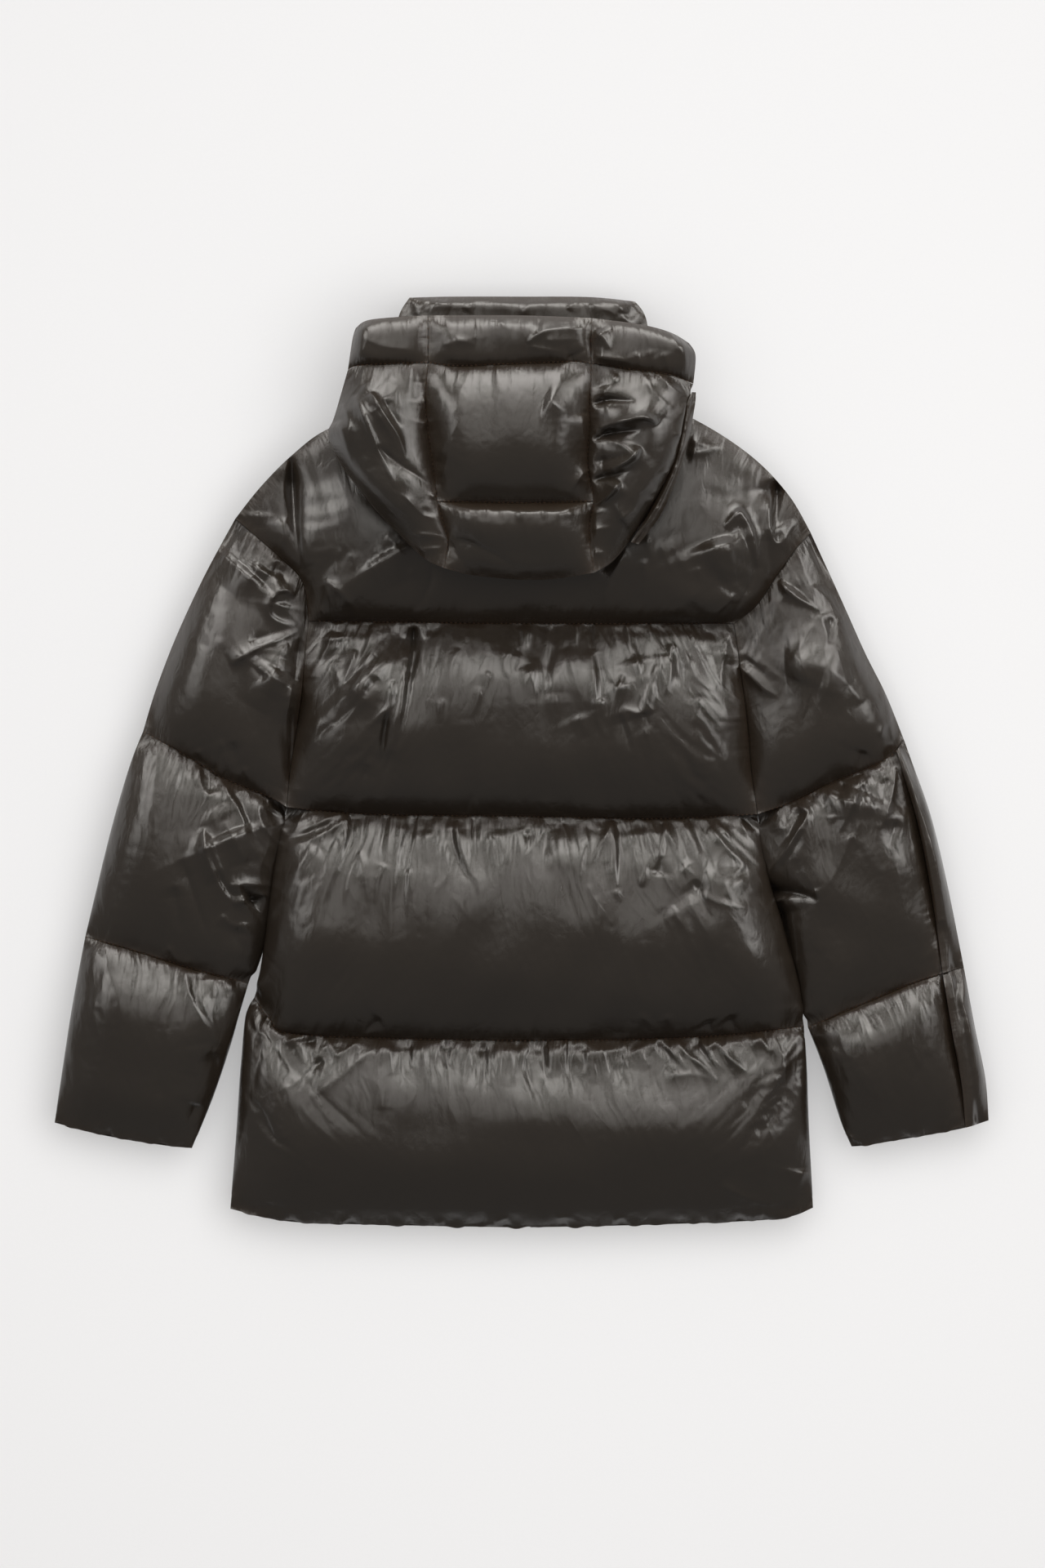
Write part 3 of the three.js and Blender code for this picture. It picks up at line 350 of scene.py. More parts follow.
# The height over the plane that the panel starts at: seams low, a full arch between them.
def startHeight(look, u, v, across):
    sideHeight = np.where(u < 0.5, look["sides"][0], look["sides"][1])
    fromSide = np.minimum(u, 1 - u) * across / mm
    seam = look["ends"][0] * (1 - v) + look["ends"][1] * v
    seam = seam * (sideHeight / seam + (1 - sideHeight / seam) * smoothStep(fromSide / 26))
    archAcross = 1 - (1 - np.clip(fromSide / look["reach"], 0, 1)) ** 2
    vCrest = v ** (math.log(0.5) / math.log(look.get("crest", 0.5)))
    archDown = 1 - np.abs(2 * vCrest - 1) ** look.get("arch", 2.3)
    return seam + (look["height"] - seam) * archAcross * archDown


# Uneven folds that leave the top seam, deepest a little under it.
def startFolds(look, u, v, down, rng):
    count = look["folds"]
    edges = np.cumsum(rng.uniform(0.55, 1.6, count + 1))
    edges = (edges - edges[0]) / (edges[-1] - edges[0])
    k = np.clip(np.searchsorted(edges, u, side="right") - 1, 0, count - 1)
    inFold = (u - edges[k]) / (edges[k + 1] - edges[k])
    depth = rng.uniform(0.35, 1.0, count)[k]
    run = look["foldRun"] * rng.uniform(0.35, 1.0, count)[k]
    fade = np.clip(1 - v / run, 0, 1) ** 1.3
    return look["foldDepth"] * depth * fade * np.sin(np.pi * inFold) ** 2 * smoothStep(v * down / mm / 9)


def writeUv(piece, name, values):
    mesh = piece.data
    layer = mesh.uv_layers.get(name) or mesh.uv_layers.new(name=name)
    loopVertex = np.empty(len(mesh.loops), int)
    mesh.loops.foreach_get("vertex_index", loopVertex)
    layer.data.foreach_set("uv", values[loopVertex].ravel())


def makePanel(name, look, seed):
    edges = edgesOf(look)
    across = (lengthsAlong(edges[0])[-1] + lengthsAlong(edges[1])[-1]) / 2
    down = (lengthsAlong(edges[2])[-1] + lengthsAlong(edges[3])[-1]) / 2
    columns, rows = (max(6, round(size / mm / look["spacing"])) for size in (across, down))
    piece = newGrid(name, columns, rows)
    mesh = piece.data
    grid = readPoints(mesh)
    u, v = (grid[:, 0] + 1) / 2, (1 - grid[:, 1]) / 2
    onSeam = (u < 1e-5) | (u > 1 - 1e-5) | (v < 1e-5) | (v > 1 - 1e-5)
    gap = look.get("gap", lying["gap"]) * mm
    gapU, gapV = gap / across, gap / down
    uIn, vIn = gapU + u * (1 - 2 * gapU), gapV + v * (1 - 2 * gapV)
    flat = patchPoints(edges, uIn, vIn)
    rng = np.random.default_rng(seed)
    relief = startFolds(look, u, v, down, rng) + rng.normal(0, 0.12, len(u))
    z = (look["plane"] + startHeight(look, u, v, across) - np.where(onSeam, 0, relief)) * mm
    mesh.vertices.foreach_set("co", np.column_stack([flat, z]).ravel())
    # the cloth as it was cut: flat, and wider than its seams
    top, bottom, long = look["ease"]
    ease = top * (1 - v) + bottom * v
    acrossHere = patchPoints(edges, np.ones_like(u), v) - patchPoints(edges, np.zeros_like(u), v)
    downHere = patchPoints(edges, u, np.ones_like(v)) - patchPoints(edges, u, np.zeros_like(v))
    cutFlat = flat + ((u - 0.5) * ease)[:, None] * acrossHere + ((v - 0.5) * long)[:, None] * downHere
    piece["across"], piece["down"] = float(across), float(down)
    writeUv(piece, mesh.uv_layers[0].name, np.column_stack([u * across, (1 - v) * down]))
    writeUv(piece, "seams", np.column_stack([np.minimum(v, 1 - v) * down, np.minimum(u, 1 - u) * across]))
    lean = look["gathers"]["lean"]
    leaning = (lean[0] + (lean[1] - lean[0]) * u) * v * down
    writeUv(piece, "drape", np.column_stack([u * across - leaning, v * down + look.get("calm", 0) * mm]))
    seam = piece.vertex_groups.new(name="seam")
    seam.add([int(i) for i in np.nonzero(onSeam)[0]], 1.0, "REPLACE")
    piece.shape_key_add(name="sewn")
    key = piece.shape_key_add(name="cut")
    key.data.foreach_set("co", np.column_stack([cutFlat, np.full(len(u), look["plane"] * mm)]).ravel())
    fillWithDown(piece)
    return piece


filling = {"steps": 14, "pressure": 12.0, "quality": 4, "mass": 0.05, "tension": 12.0, "shear": 4,
           "bending": 0.08}


def fillWithDown(piece):
    down = piece.modifiers.new("down", "CLOTH")
    settings = down.settings
    settings.quality = filling["quality"]
    settings.mass = filling["mass"]
    settings.tension_stiffness = filling["tension"]
    settings.compression_stiffness = filling["tension"]
    settings.shear_stiffness = filling["shear"]
    settings.bending_stiffness = filling["bending"]
    settings.vertex_group_mass = "seam"
    settings.pin_stiffness = 1
    settings.use_pressure = True
    settings.uniform_pressure_force = filling["pressure"]
    settings.effector_weights.gravity = 0
    settings.rest_shape_key = piece.data.shape_keys.key_blocks["cut"]
    down.point_cache.frame_end = filling["steps"]


pieces = {name: makePanel(name, look, seed) for seed, (name, look) in enumerate(panels.items(), 11)}
print("panels sewn:", len(pieces), "with", sum(len(p.data.vertices) for p in pieces.values()), "points")

for step in range(1, filling["steps"] + 1):
    bpy.context.scene.frame_set(step)
selectOnly(pieces.values(), pieces["collarFrontRight"])
bpy.ops.object.convert(target="MESH")
bpy.context.scene.frame_set(1)
print("panels filled")


# Brings the filled panel back to its height, and rounds off what stands proud.
def settle(piece, look):
    points = readPoints(piece.data)
    z = points[:, 2] / mm - look["plane"]
    crest = np.percentile(z, 97)
    flank = 20
    room = look["height"] - flank - 1.5
    z = np.where(z > flank, flank + (z - flank) * (room / max(crest - flank, 1)), z)
    fromTop = panelPlaces(piece)[1] * piece["down"] / mm
    steepest = look["ends"][0] + 2.5 + look.get("rise", 0.74) * fromTop
    z = -3 * np.log(np.exp(-z / 3) + np.exp(-steepest / 3))  # the lower of the two, rounded where they meet
    points[:, 2] = (look["plane"] + np.clip(z, 1.0, look["height"] + 4)) * mm
    piece.data.vertices.foreach_set("co", points.ravel())


# Each point's place on its panel, from 0 to 1 across and from the top down.
def panelPlaces(piece):
    mesh = piece.data
    uv = np.empty(len(mesh.loops) * 2)
    mesh.uv_layers["UVMap"].data.foreach_get("uv", uv)
    loopVertex = np.empty(len(mesh.loops), int)
    mesh.loops.foreach_get("vertex_index", loopVertex)
    places = np.empty((len(mesh.vertices), 2))
    places[loopVertex] = uv.reshape(-1, 2)
    u = places[:, 0] / piece["across"]
    return u, 1 - places[:, 1] / piece["down"]


def subdivide(piece):
    finer = piece.modifiers.new("finer", "SUBSURF")
    finer.levels = finer.render_levels = 1
    finer.boundary_smooth = "PRESERVE_CORNERS"
    selectOnly([piece], piece)
    bpy.ops.object.modifier_apply(modifier="finer")


# How a crease swells near its start and thins out towards its end.
def tapering(share):
    share = np.clip(share, 0, 1)
    return 1.25 * np.minimum(1, share / 0.22) ** 0.7 * (1 - share) ** 0.85


# Raises or sinks the cloth along a path; wide is how far it falls off on the path's left and right, in mm.
def pressLine(points, path, height, wide, blunt=0.6):
    reach = 4.5 * max(wide) * mm
    low, high = path.min(0) - reach, path.max(0) + reach
    near = np.nonzero(((points[:, :2] > low) & (points[:, :2] < high)).all(1))[0]
    if not len(near):
        return
    start, step = path[:-1], np.diff(path, axis=0)
    size = (step ** 2).sum(1)
    offset = points[near, None, :2] - start
    share = np.clip((offset * step).sum(-1) / size, 0, 1)
    away = offset - share[..., None] * step
    distance = np.hypot(away[..., 0], away[..., 1])
    k = distance.argmin(1)
    rows = np.arange(len(near))
    side = step[k, 0] * away[rows, k, 1] - step[k, 1] * away[rows, k, 0]
    s = lengthsAlong(path)
    along = (s[k] + share[rows, k] * np.sqrt(size[k])) / s[-1]
    strength = tapering(along)
    w = np.where(side > 0, wide[0], wide[1]) * mm * (0.35 + 0.65 * strength)
    blunt = blunt * mm
    fall = np.exp(-(np.sqrt(distance[rows, k] ** 2 + blunt ** 2) - blunt) / w)
    points[near, 2] += height * mm * strength * fall


# Folds that a seam pulls in, in mm: short ones stand close together at the seam and run into longer ones.
foldSizes = [{"apart": 6, "deep": 0.5, "run": (8, 34), "begin": 1},
             {"apart": 14, "deep": 2.0, "run": (28, 115), "begin": 3},
             {"apart": 31, "deep": 2.9, "run": (50, 135), "begin": 8}]
foldMargin = 120  # folds also begin this far past the panel's corners, in mm, and may lean into it


def foldField(along, away, length, lean, rng, scale=1.0):
    relief = np.zeros(len(along))
    leaning = lean[0] + (lean[1] - lean[0]) * along / length
    for size in foldSizes:
        wander = sum(rng.uniform(0.4, 1) * np.sin(away / rng.uniform(24, 60) + along / rng.uniform(40, 110)
                                                  + rng.uniform(0, 6.3)) for _ in range(3))
        place = along - leaning * away + wander * np.minimum(away / 22, 1) * 0.2 * size["apart"]
        count = int((length + 2 * foldMargin) / size["apart"])
        borders = np.cumsum(rng.uniform(0.35, 1.9, count)) * size["apart"] / 1.1 - foldMargin
        k = np.clip(np.searchsorted(borders, place) - 1, 0, count - 2)
        t = np.clip((place - borders[k]) / (borders[k + 1] - borders[k]), 0, 1)
        peak = rng.uniform(0.2, 0.8, count)[k]
        facet = np.where(t < peak, t / peak, (1 - t) / (1 - peak)) ** rng.uniform(0.95, 1.5, count)[k]
        height = rng.uniform(0.15, 1.35, count) * np.where(rng.uniform(0, 1, count) < 0.62, -1, 1)
        short, long = size["run"]
        run = (short + (long - short) * rng.uniform(0, 1, count) ** 1.6)[k] * scale
        fade = np.clip(1 - away / run, 0, 1) ** 1.1 * smoothStep(away / size["begin"] + 0.2)
        cluster = 0.72 + 0.45 * np.sin(along / rng.uniform(28, 46) + rng.uniform(0, 6.3))
        relief += size["deep"] * cluster * height[k] * facet * fade
    return relief


# The folds at all four seams; each panel says how strong they are and how they lean.
def gatherSeams(points, piece, look, rng):
    gathers = look["gathers"]
    edges = edgesOf(look)
    lengths = [lengthsAlong(edge)[-1] / mm for edge in edges]
    u, v = panelPlaces(piece)
    across, down = (lengths[0] + lengths[1]) / 2, (lengths[2] + lengths[3]) / 2
    for side, strong in enumerate(gathers["strong"]):
        away = ((v, 1 - v, u, 1 - u)[side]) * (down if side < 2 else across)
        along = (u if side < 2 else v) * lengths[side]
        lean = gathers["lean"] if side == 0 else (0, 0)
        scale = (1, 0.42, 0.36, 0.36)[side] * gathers.get("run", 1)
        points[:, 2] += strong * mm * foldField(along, away, lengths[side], lean, rng, scale)


# Small creases all over, and the slow swell of the down under the cloth.
def crumple(points, look, edges, rng):
    size = np.ptp(points[:, :2], axis=0) / mm
    for _ in range(int(size[0] * size[1] / 2200)):
        u, v = rng.uniform(0.03, 0.97), rng.beta(1.0, 2.0) * 0.96 + 0.02
        start = patchPoints(edges, np.array([u]), np.array([v]))[0]
        angle = rng.normal(-math.pi / 2, 0.4)
        run = rng.uniform(14, 55) * mm
        bend = rng.normal(0, 0.18)
        mid = start + run / 2 * np.array([math.cos(angle), math.sin(angle)])
        end = mid + run / 2 * np.array([math.cos(angle + bend), math.sin(angle + bend)])
        pressLine(points, np.array([start, mid, end]), rng.normal(0, 0.4), rng.uniform(3, 9, 2))
    swell = np.zeros(len(points))
    for _ in range(7):
        wave = 2 * math.pi / (rng.uniform(45, 120) * mm)
        angle = rng.uniform(0, math.pi)
        across = points[:, 0] * math.cos(angle) + points[:, 1] * math.sin(angle)
        swell += np.sin(wave * across + rng.uniform(0, 6.3))
    over = points[:, 2] / mm - look["plane"]
    points[:, 2] += 0.42 * mm * swell * smoothStep((over - 12) / (0.5 * look["height"]))


# The creases that show one by one, in mm: height and how wide they fall off, then their paths by piece.
creaseKinds = {
    "sharp": {"height": 3.6, "wide": (4.0, 6.5)},
    "fine": {"height": 1.4, "wide": (2.4, 4.4)},
    "soft": {"height": 2.2, "wide": (8.0, 10.0)},
    "bulge": {"height": 3.0, "wide": (12.0, 12.0), "blunt": 6.0},
    "valley": {"height": -2.8, "wide": (4.0, 6.5)},
    "deep": {"height": -13.0, "wide": (5.5, 7.5)},
    "fold": {"height": 6.0, "wide": (3.6, 9.0)},
    "foldBack": {"height": 6.0, "wide": (9.0, 3.6)},
    "groove": {"height": -5.0, "wide": (3.0, 4.0)},
    "swell": {"height": 6.5, "wide": (16.0, 18.0), "blunt": 9.0},
}
creases = {
    "backYoke": {
        "fold": [[(178, 206), (184, 213), (191, 220), (196, 215), (202, 203), (205, 190), (207, 172)],
            [(222, 238), (219, 222), (219, 205), (222, 195), (229, 194), (240, 213)]],
        "swell": [[(-122, 184), (-106, 158)], [(168, 196), (182, 158)]],
        "sharp": [[(-204, 267), (-208, 255), (-209, 235), (-206, 218)],
            [(148, 283), (172, 277), (178, 278)], [(146, 272), (165, 274), (173, 277)],
            [(92, 185), (86, 175), (78, 160), (70, 141)],
            [(-174, 160), (-160, 150), (-150, 138), (-142, 130)]],
        "fine": [[(-160, 188), (-163, 170), (-157, 158)], [(-150, 185), (-145, 165)],
            [(-128, 190), (-122, 170), (-113, 160)], [(-135, 180), (-118, 145)], [(-97, 170), (-93, 160)],
            [(-174, 160), (-168, 140)], [(-178, 136), (-170, 128)], [(110, 200), (117, 172)],
            [(122, 195), (132, 168)], [(108, 178), (110, 158)], [(155, 172), (158, 157)],
            [(188, 148), (168, 127)]],
        "soft": [[(-209, 215), (-211, 185)], [(-231, 220), (-232, 208)],
            [(180, 195), (184, 180), (188, 153)], [(226, 210), (238, 185)], [(-120, 200), (-100, 176)],
            [(130, 196), (150, 160)]],
        "bulge": [[(168, 196), (178, 162)]],
        "valley": [[(-79, 172), (-80, 158), (-88, 142), (-100, 130)],
            [(191, 212), (201, 185), (205, 170), (202, 158), (195, 145), (184, 126)],
            [(218, 205), (217, 190), (221, 164), (224, 158)], [(68, 168), (90, 183)]],
        "deep": [[(-203, 268), (-202, 245), (-201, 225), (-199, 200), (-194, 168)],
            [(224, 249), (225, 235), (223, 205)]],
    },
    "backChest": {
        "fold": [[(-97, 102), (-103, 75), (-106, 50), (-110, 30), (-113, 14)]],
        "groove": [[(-92, 98), (-98, 74), (-101, 50), (-105, 30), (-108, 12)],
            [(-118, 44), (-121, 20), (-124, -4)]],
        "swell": [[(-150, 74), (-124, 46)]],
        "sharp": [[(-113, 72), (-115, 56), (-117, 48), (-125, 40), (-136, 29)],
            [(-146, 99), (-150, 85), (-156, 70), (-158, 59)],
            [(-170, 113), (-169, 106), (-174, 97), (-176, 90)], [(-160, 113), (-165, 101), (-172, 95)],
            [(62, 99), (64, 75), (65, 50), (67, 38), (72, 26), (76, 20)],
            [(90, 77), (84, 60), (80, 38), (79, 20)],
            [(88, 48), (95, 45), (104, 43), (108, 50), (112, 65), (119, 87)],
            [(131, 104), (132, 85), (129, 67), (124, 57)], [(183, 114), (179, 98), (176, 78), (177, 62)]],
        "fine": [[(-100, 121), (-98, 100)], [(0, 120), (3, 100)], [(6, 119), (4, 98)], [(70, 56), (69, 40)],
            [(71, 56), (73, 36)], [(118, 86), (116, 65), (112, 45), (111, 29)],
            [(121, 87), (125, 70), (124, 58)], [(101, 96), (103, 80), (107, 64)],
            [(143, 100), (150, 80), (160, 68), (175, 61)], [(150, 119), (153, 100), (160, 84), (172, 62)],
            [(143, 81), (147, 62), (152, 49)], [(155, 56), (156, 47), (153, 42)],
            [(88, 48), (92, 35), (98, 20), (102, 2)], [(-55, 100), (-62, 85), (-65, 67)],
            [(-36, 66), (-41, 48), (-46, 38)], [(-28, 80), (-33, 60)], [(-8, 100), (-15, 88), (-12, 74)],
            [(-2, 96), (-8, 80)], [(-70, 56), (-72, 34)], [(14, 91), (7, 74), (2, 60)],
            [(-178, 40), (-186, 0)], [(109, 30), (116, 6)]],
        "soft": [[(-110, 96), (-124, 80), (-136, 60)], [(-136, 62), (-148, 46), (-153, 34)],
            [(-165, 90), (-160, 60), (-163, 42)], [(-118, 92), (-134, 74), (-150, 50)],
            [(40, 100), (48, 70), (60, 45)], [(90, 72), (98, 52)], [(8, 85), (10, 55)],
            [(182, 100), (184, 76)], [(28, 60), (29, 24)], [(50, 42), (58, 22)], [(100, 92), (106, 66)],
            [(127, 95), (126, 62)]],
        "bulge": [[(-150, 70), (-120, 60)], [(20, 70), (56, 64)]],
        "valley": [[(-101, 92), (-108, 62), (-113, 34)], [(-160, 110), (-156, 88)],
            [(-120, 38), (-124, 8), (-127, -32)], [(-135, -2), (-143, -22), (-146, -42)],
            [(-115, 10), (-122, -14), (-128, -30)], [(67, 96), (70, 70), (74, 40)],
            [(86, 42), (92, 24), (97, 8)], [(108, 44), (112, 30)], [(137, 100), (140, 80), (142, 62)],
            [(-127, 74), (-143, 52)]],
        "deep": [[(-95, 119), (-96, 98), (-101, 70)]],
    },
    "backWaist": {
        "sharp": [[(-157, -44), (-180, -55), (-201, -65)],
            [(-152, -48), (-170, -61), (-193, -72), (-212, -82)],
            [(-58, -52), (-56, -70), (-51, -85), (-44, -98), (-37, -108)],
            [(81, -52), (82, -80), (83, -112)], [(127, -55), (122, -80), (116, -98)],
            [(170, -51), (188, -72), (205, -90), (217, -93)],
            [(166, -57), (180, -75), (193, -90), (187, -100), (185, -110)],
            [(80, -53), (70, -72), (59, -92)]],
        "fine": [[(-205, -58), (-203, -63), (-198, -66)], [(-185, -48), (-195, -55), (-204, -60)],
            [(-148, -45), (-146, -60), (-142, -76)], [(-154, -60), (-157, -75), (-159, -90)],
            [(-163, -68), (-170, -85), (-172, -98)], [(-142, -78), (-139, -95), (-136, -112), (-133, -125)],
            [(-125, -96), (-127, -110), (-129, -126)], [(-101, -56), (-108, -76)],
            [(-100, -94), (-97, -116)], [(-120, -90), (-126, -103)],
            [(-28, -58), (-25, -80), (-20, -95), (-14, -104)], [(20, -52), (12, -68), (7, -81)],
            [(0, -58), (5, -75), (9, -90)], [(-68, -70), (-66, -90), (-60, -112)],
            [(127, -54), (133, -70), (135, -86)], [(105, -110), (110, -90), (114, -80)],
            [(145, -54), (152, -68), (158, -79)], [(190, -51), (195, -60), (208, -65)],
            [(203, -49), (207, -57), (208, -68)],
            [(150, -112), (165, -120), (180, -126), (200, -128), (210, -135)],
            [(83, -112), (85, -119), (89, -122)], [(103, -222), (112, -228), (118, -238)],
            [(128, -222), (133, -236)]],
        "soft": [[(-52, -60), (-48, -80), (-41, -98)], [(132, -127), (140, -140), (151, -154)],
            [(145, -115), (155, -135), (165, -155), (171, -167)], [(-20, -60), (-14, -90)],
            [(30, -60), (36, -100)], [(60, -60), (50, -100), (58, -130)], [(-85, -60), (-82, -90)],
            [(75, -60), (76, -100)], [(190, -100), (206, -118)], [(140, -90), (160, -108)],
            [(-180, -75), (-200, -100)], [(100, -60), (104, -84)]],
        "bulge": [[(20, -82), (60, -84)], [(160, -100), (196, -112)]],
        "valley": [[(-62, -58), (-56, -88), (-46, -106)], [(84, -56), (87, -80), (86, -108)],
            [(4, -60), (6, -80)], [(-168, -54), (-190, -64), (-208, -72)],
            [(178, -62), (192, -78), (204, -94)], [(152, -104), (160, -124), (168, -142)],
            [(163, -228), (168, -239)], [(182, -224), (190, -238)], [(-124, -226), (-140, -239)],
            [(-150, -46), (-149, -62)], [(118, -100), (123, -82)]],
    },
    "backHem": {
        "sharp": [[(-209, -248), (-200, -243), (-180, -240), (-172, -245)],
            [(-172, -242), (-168, -251), (-163, -258), (-157, -250), (-158, -242)],
            [(118, -243), (132, -255), (146, -271)], [(135, -243), (145, -257), (160, -268), (173, -282)],
            [(168, -243), (180, -258), (192, -268), (201, -276)],
            [(206, -237), (212, -247), (219, -254), (221, -248), (217, -237)],
            [(158, -243), (165, -258), (179, -273)]],
        "fine": [[(112, -243), (118, -255), (126, -263)], [(178, -243), (188, -247), (197, -248)],
            [(-53, -244), (-58, -252), (-61, -262), (-57, -272)], [(40, -246), (34, -258)],
            [(210, -238), (218, -250)], [(90, -246), (92, -262)], [(48, -246), (45, -266)],
            [(-172, -248), (-185, -268), (-200, -283), (-216, -291)], [(-160, -405), (-150, -403)],
            [(-76, -408), (-70, -405), (-64, -409)], [(-24, -407), (-15, -402), (-6, -408)],
            [(30, -402), (42, -401), (54, -406)], [(80, -407), (88, -402), (96, -408)]],
        "soft": [[(-130, -252), (-150, -268), (-172, -286), (-192, -300)],
            [(-87, -246), (-86, -266), (-76, -292)], [(-45, -248), (-50, -268), (-51, -290)],
            [(-22, -250), (-20, -275), (-17, -300)], [(-10, -246), (-9, -264), (-11, -286)],
            [(7, -248), (8, -270), (13, -292)], [(28, -248), (29, -278)], [(62, -248), (65, -284)],
            [(78, -250), (79, -272)], [(-116, -250), (-115, -276)], [(100, -250), (112, -270)],
            [(-148, -246), (-142, -254)], [(126, -270), (136, -276), (152, -275), (172, -281)],
            [(175, -372), (200, -385), (232, -393)], [(246, -360), (241, -377)]],
        "bulge": [[(20, -258), (88, -258)]],
        "valley": [[(-100, -246), (-98, -272)], [(-66, -246), (-66, -270)], [(-34, -248), (-32, -276)],
            [(18, -248), (20, -278)], [(54, -248), (54, -274)], [(120, -247), (134, -262)],
            [(152, -245), (166, -262)], [(170, -248), (184, -264)], [(-180, -246), (-200, -247)],
            [(-175, -262), (-196, -280)], [(-228, -240), (-232, -270), (-238, -300)]],
    },
    "leftSleeveUpper": {
        "fold": [[(-200, 146), (-207, 151), (-215, 149), (-222, 140), (-222, 130), (-213, 123),
             (-199, 120)]],
        "foldBack": [[(-256, 86), (-235, 99), (-215, 107), (-197, 115)],
            [(-201, 72), (-206, 45), (-206, 25), (-203, 4)]],
        "groove": [[(-196, 108), (-199, 80), (-201, 60)], [(-203, 48), (-204, 10), (-206, -20)]],
        "swell": [[(-214, 82), (-236, 48)], [(-238, 168), (-256, 148)]],
        "fine": [[(-213, 148), (-210, 140), (-203, 138)], [(-240, 206), (-248, 182)],
            [(-230, 98), (-212, 98)], [(-285, 12), (-280, -1)], [(-265, 20), (-258, -8)],
            [(-245, -4), (-239, -20)], [(-231, 202), (-236, 186)]],
        "soft": [[(-246, 204), (-256, 189), (-268, 170), (-285, 150), (-300, 124)],
            [(-213, 178), (-228, 172), (-240, 160), (-243, 152)],
            [(-195, 106), (-212, 90), (-224, 60), (-231, 33)], [(-212, 140), (-214, 128)],
            [(-205, 104), (-230, 80)]],
        "bulge": [[(-205, 88), (-222, 58)], [(-228, 172), (-236, 158)]],
        "valley": [[(-213, 176), (-222, 163), (-232, 152)], [(-213, 172), (-208, 158), (-200, 150)],
            [(-240, 106), (-222, 112), (-204, 118)], [(-226, 72), (-240, 88)], [(-255, 18), (-246, -14)]],
    },
    "leftSleeveMiddle": {
        "fold": [[(-268, -12), (-258, -28), (-249, -42), (-242, -62), (-235, -80), (-225, -97)],
            [(-279, -58), (-278, -80), (-270, -100), (-262, -115), (-252, -127)]],
        "swell": [[(-256, -60), (-244, -88)]],
        "sharp": [[(-283, -3), (-283, -18), (-277, -29), (-271, -26), (-272, -9)],
            [(-277, -64), (-268, -88), (-259, -108)],
            [(-258, -109), (-245, -107), (-235, -106), (-222, -105)],
            [(-254, -125), (-240, -118), (-226, -112)],
            [(-232, -30), (-233, -45), (-228, -58), (-220, -68), (-215, -72)]],
        "fine": [[(-230, -33), (-225, -50), (-219, -62)], [(-215, -40), (-217, -58)],
            [(-265, -134), (-257, -142), (-250, -142)], [(-248, -140), (-243, -152)],
            [(-312, -162), (-302, -177)], [(-244, -22), (-240, -34)], [(-254, -18), (-253, -27)]],
        "soft": [[(-270, -24), (-272, -44), (-268, -60)], [(-262, -52), (-246, -82), (-236, -98)],
            [(-281, -62), (-282, -84), (-272, -108)]],
        "bulge": [[(-266, -38), (-250, -74)]],
        "valley": [[(-252, -28), (-243, -46), (-237, -64), (-226, -84)],
            [(-300, -86), (-291, -110), (-283, -135), (-276, -152)],
            [(-268, -96), (-256, -116), (-240, -114)], [(-222, -40), (-226, -54)],
            [(-250, -145), (-252, -155), (-245, -168)], [(-306, -110), (-300, -150)]],
        "deep": [[(-244, -122), (-232, -116)]],
    },
    "leftSleeveCuff": {
        "sharp": [[(-296, -182), (-293, -200), (-285, -220), (-272, -240), (-262, -256)]],
        "fine": [[(-288, -184), (-286, -200), (-278, -220), (-268, -238)], [(-311, -176), (-311, -187)],
            [(-283, -184), (-283, -191)], [(-263, -190), (-259, -203)],
            [(-258, -195), (-254, -200), (-250, -197)], [(-374, -317), (-368, -328)],
            [(-362, -330), (-356, -326), (-350, -332)], [(-348, -333), (-342, -329), (-336, -335)],
            [(-297, -338), (-292, -330)]],
        "soft": [[(-273, -188), (-272, -208)], [(-396, -210), (-399, -240), (-401, -280)]],
        "valley": [[(-291, -186), (-288, -206), (-280, -226), (-268, -246)],
            [(-275, -255), (-272, -270), (-276, -288)], [(-288, -300), (-296, -318)]],
    },
    "rightSleeveUpper": {
        "foldBack": [[(226, 160), (240, 146), (252, 139), (265, 132)],
            [(191, 85), (205, 72), (215, 63), (226, 57)]],
        "swell": [[(232, 84), (262, 84), (288, 66)]],
        "sharp": [[(302, 122), (316, 76), (325, 36), (329, 8)]],
        "fine": [[(255, 155), (262, 150), (271, 143)], [(316, 22), (319, 35)],
            [(252, 206), (262, 190), (275, 169), (283, 154)], [(309, 122), (321, 84), (332, 40)],
            [(226, 160), (236, 144), (240, 134)]],
        "soft": [[(192, 97), (205, 90), (218, 82), (233, 68)], [(262, 130), (268, 114), (264, 92)],
            [(235, 84), (246, 104), (260, 124)], [(300, 52), (286, 70), (268, 84)]],
        "bulge": [[(240, 72), (258, 104)], [(262, 66), (292, 56)]],
        "valley": [[(226, 162), (241, 154), (253, 143), (262, 135)], [(195, 92), (210, 80), (222, 68)],
            [(272, 128), (272, 104)], [(302, 10), (296, -6)]],
    },
    "rightSleeveMiddle": {
        "foldBack": [[(237, -40), (248, -41), (252, -46), (243, -62), (232, -82), (222, -98), (216, -107)]],
        "swell": [[(300, -26), (286, -62)]],
        "sharp": [[(298, -12), (295, -30), (287, -48), (279, -63)],
            [(329, -3), (327, -24), (322, -44), (316, -57), (308, -50)]],
        "fine": [[(225, -60), (228, -57), (235, -57), (237, -48), (236, -40)], [(220, -125), (226, -135)],
            [(290, -63), (297, -76)], [(315, -4), (316, -14)], [(258, -112), (264, -121)],
            [(274, -47), (274, -54)]],
        "soft": [[(274, -22), (268, -36), (263, -50)], [(306, -12), (307, -32), (308, -48)],
            [(338, -40), (335, -60), (329, -78)],
            [(300, -52), (290, -66), (282, -84), (274, -100), (265, -116)],
            [(292, -18), (286, -36), (281, -54)], [(236, -122), (246, -126)]],
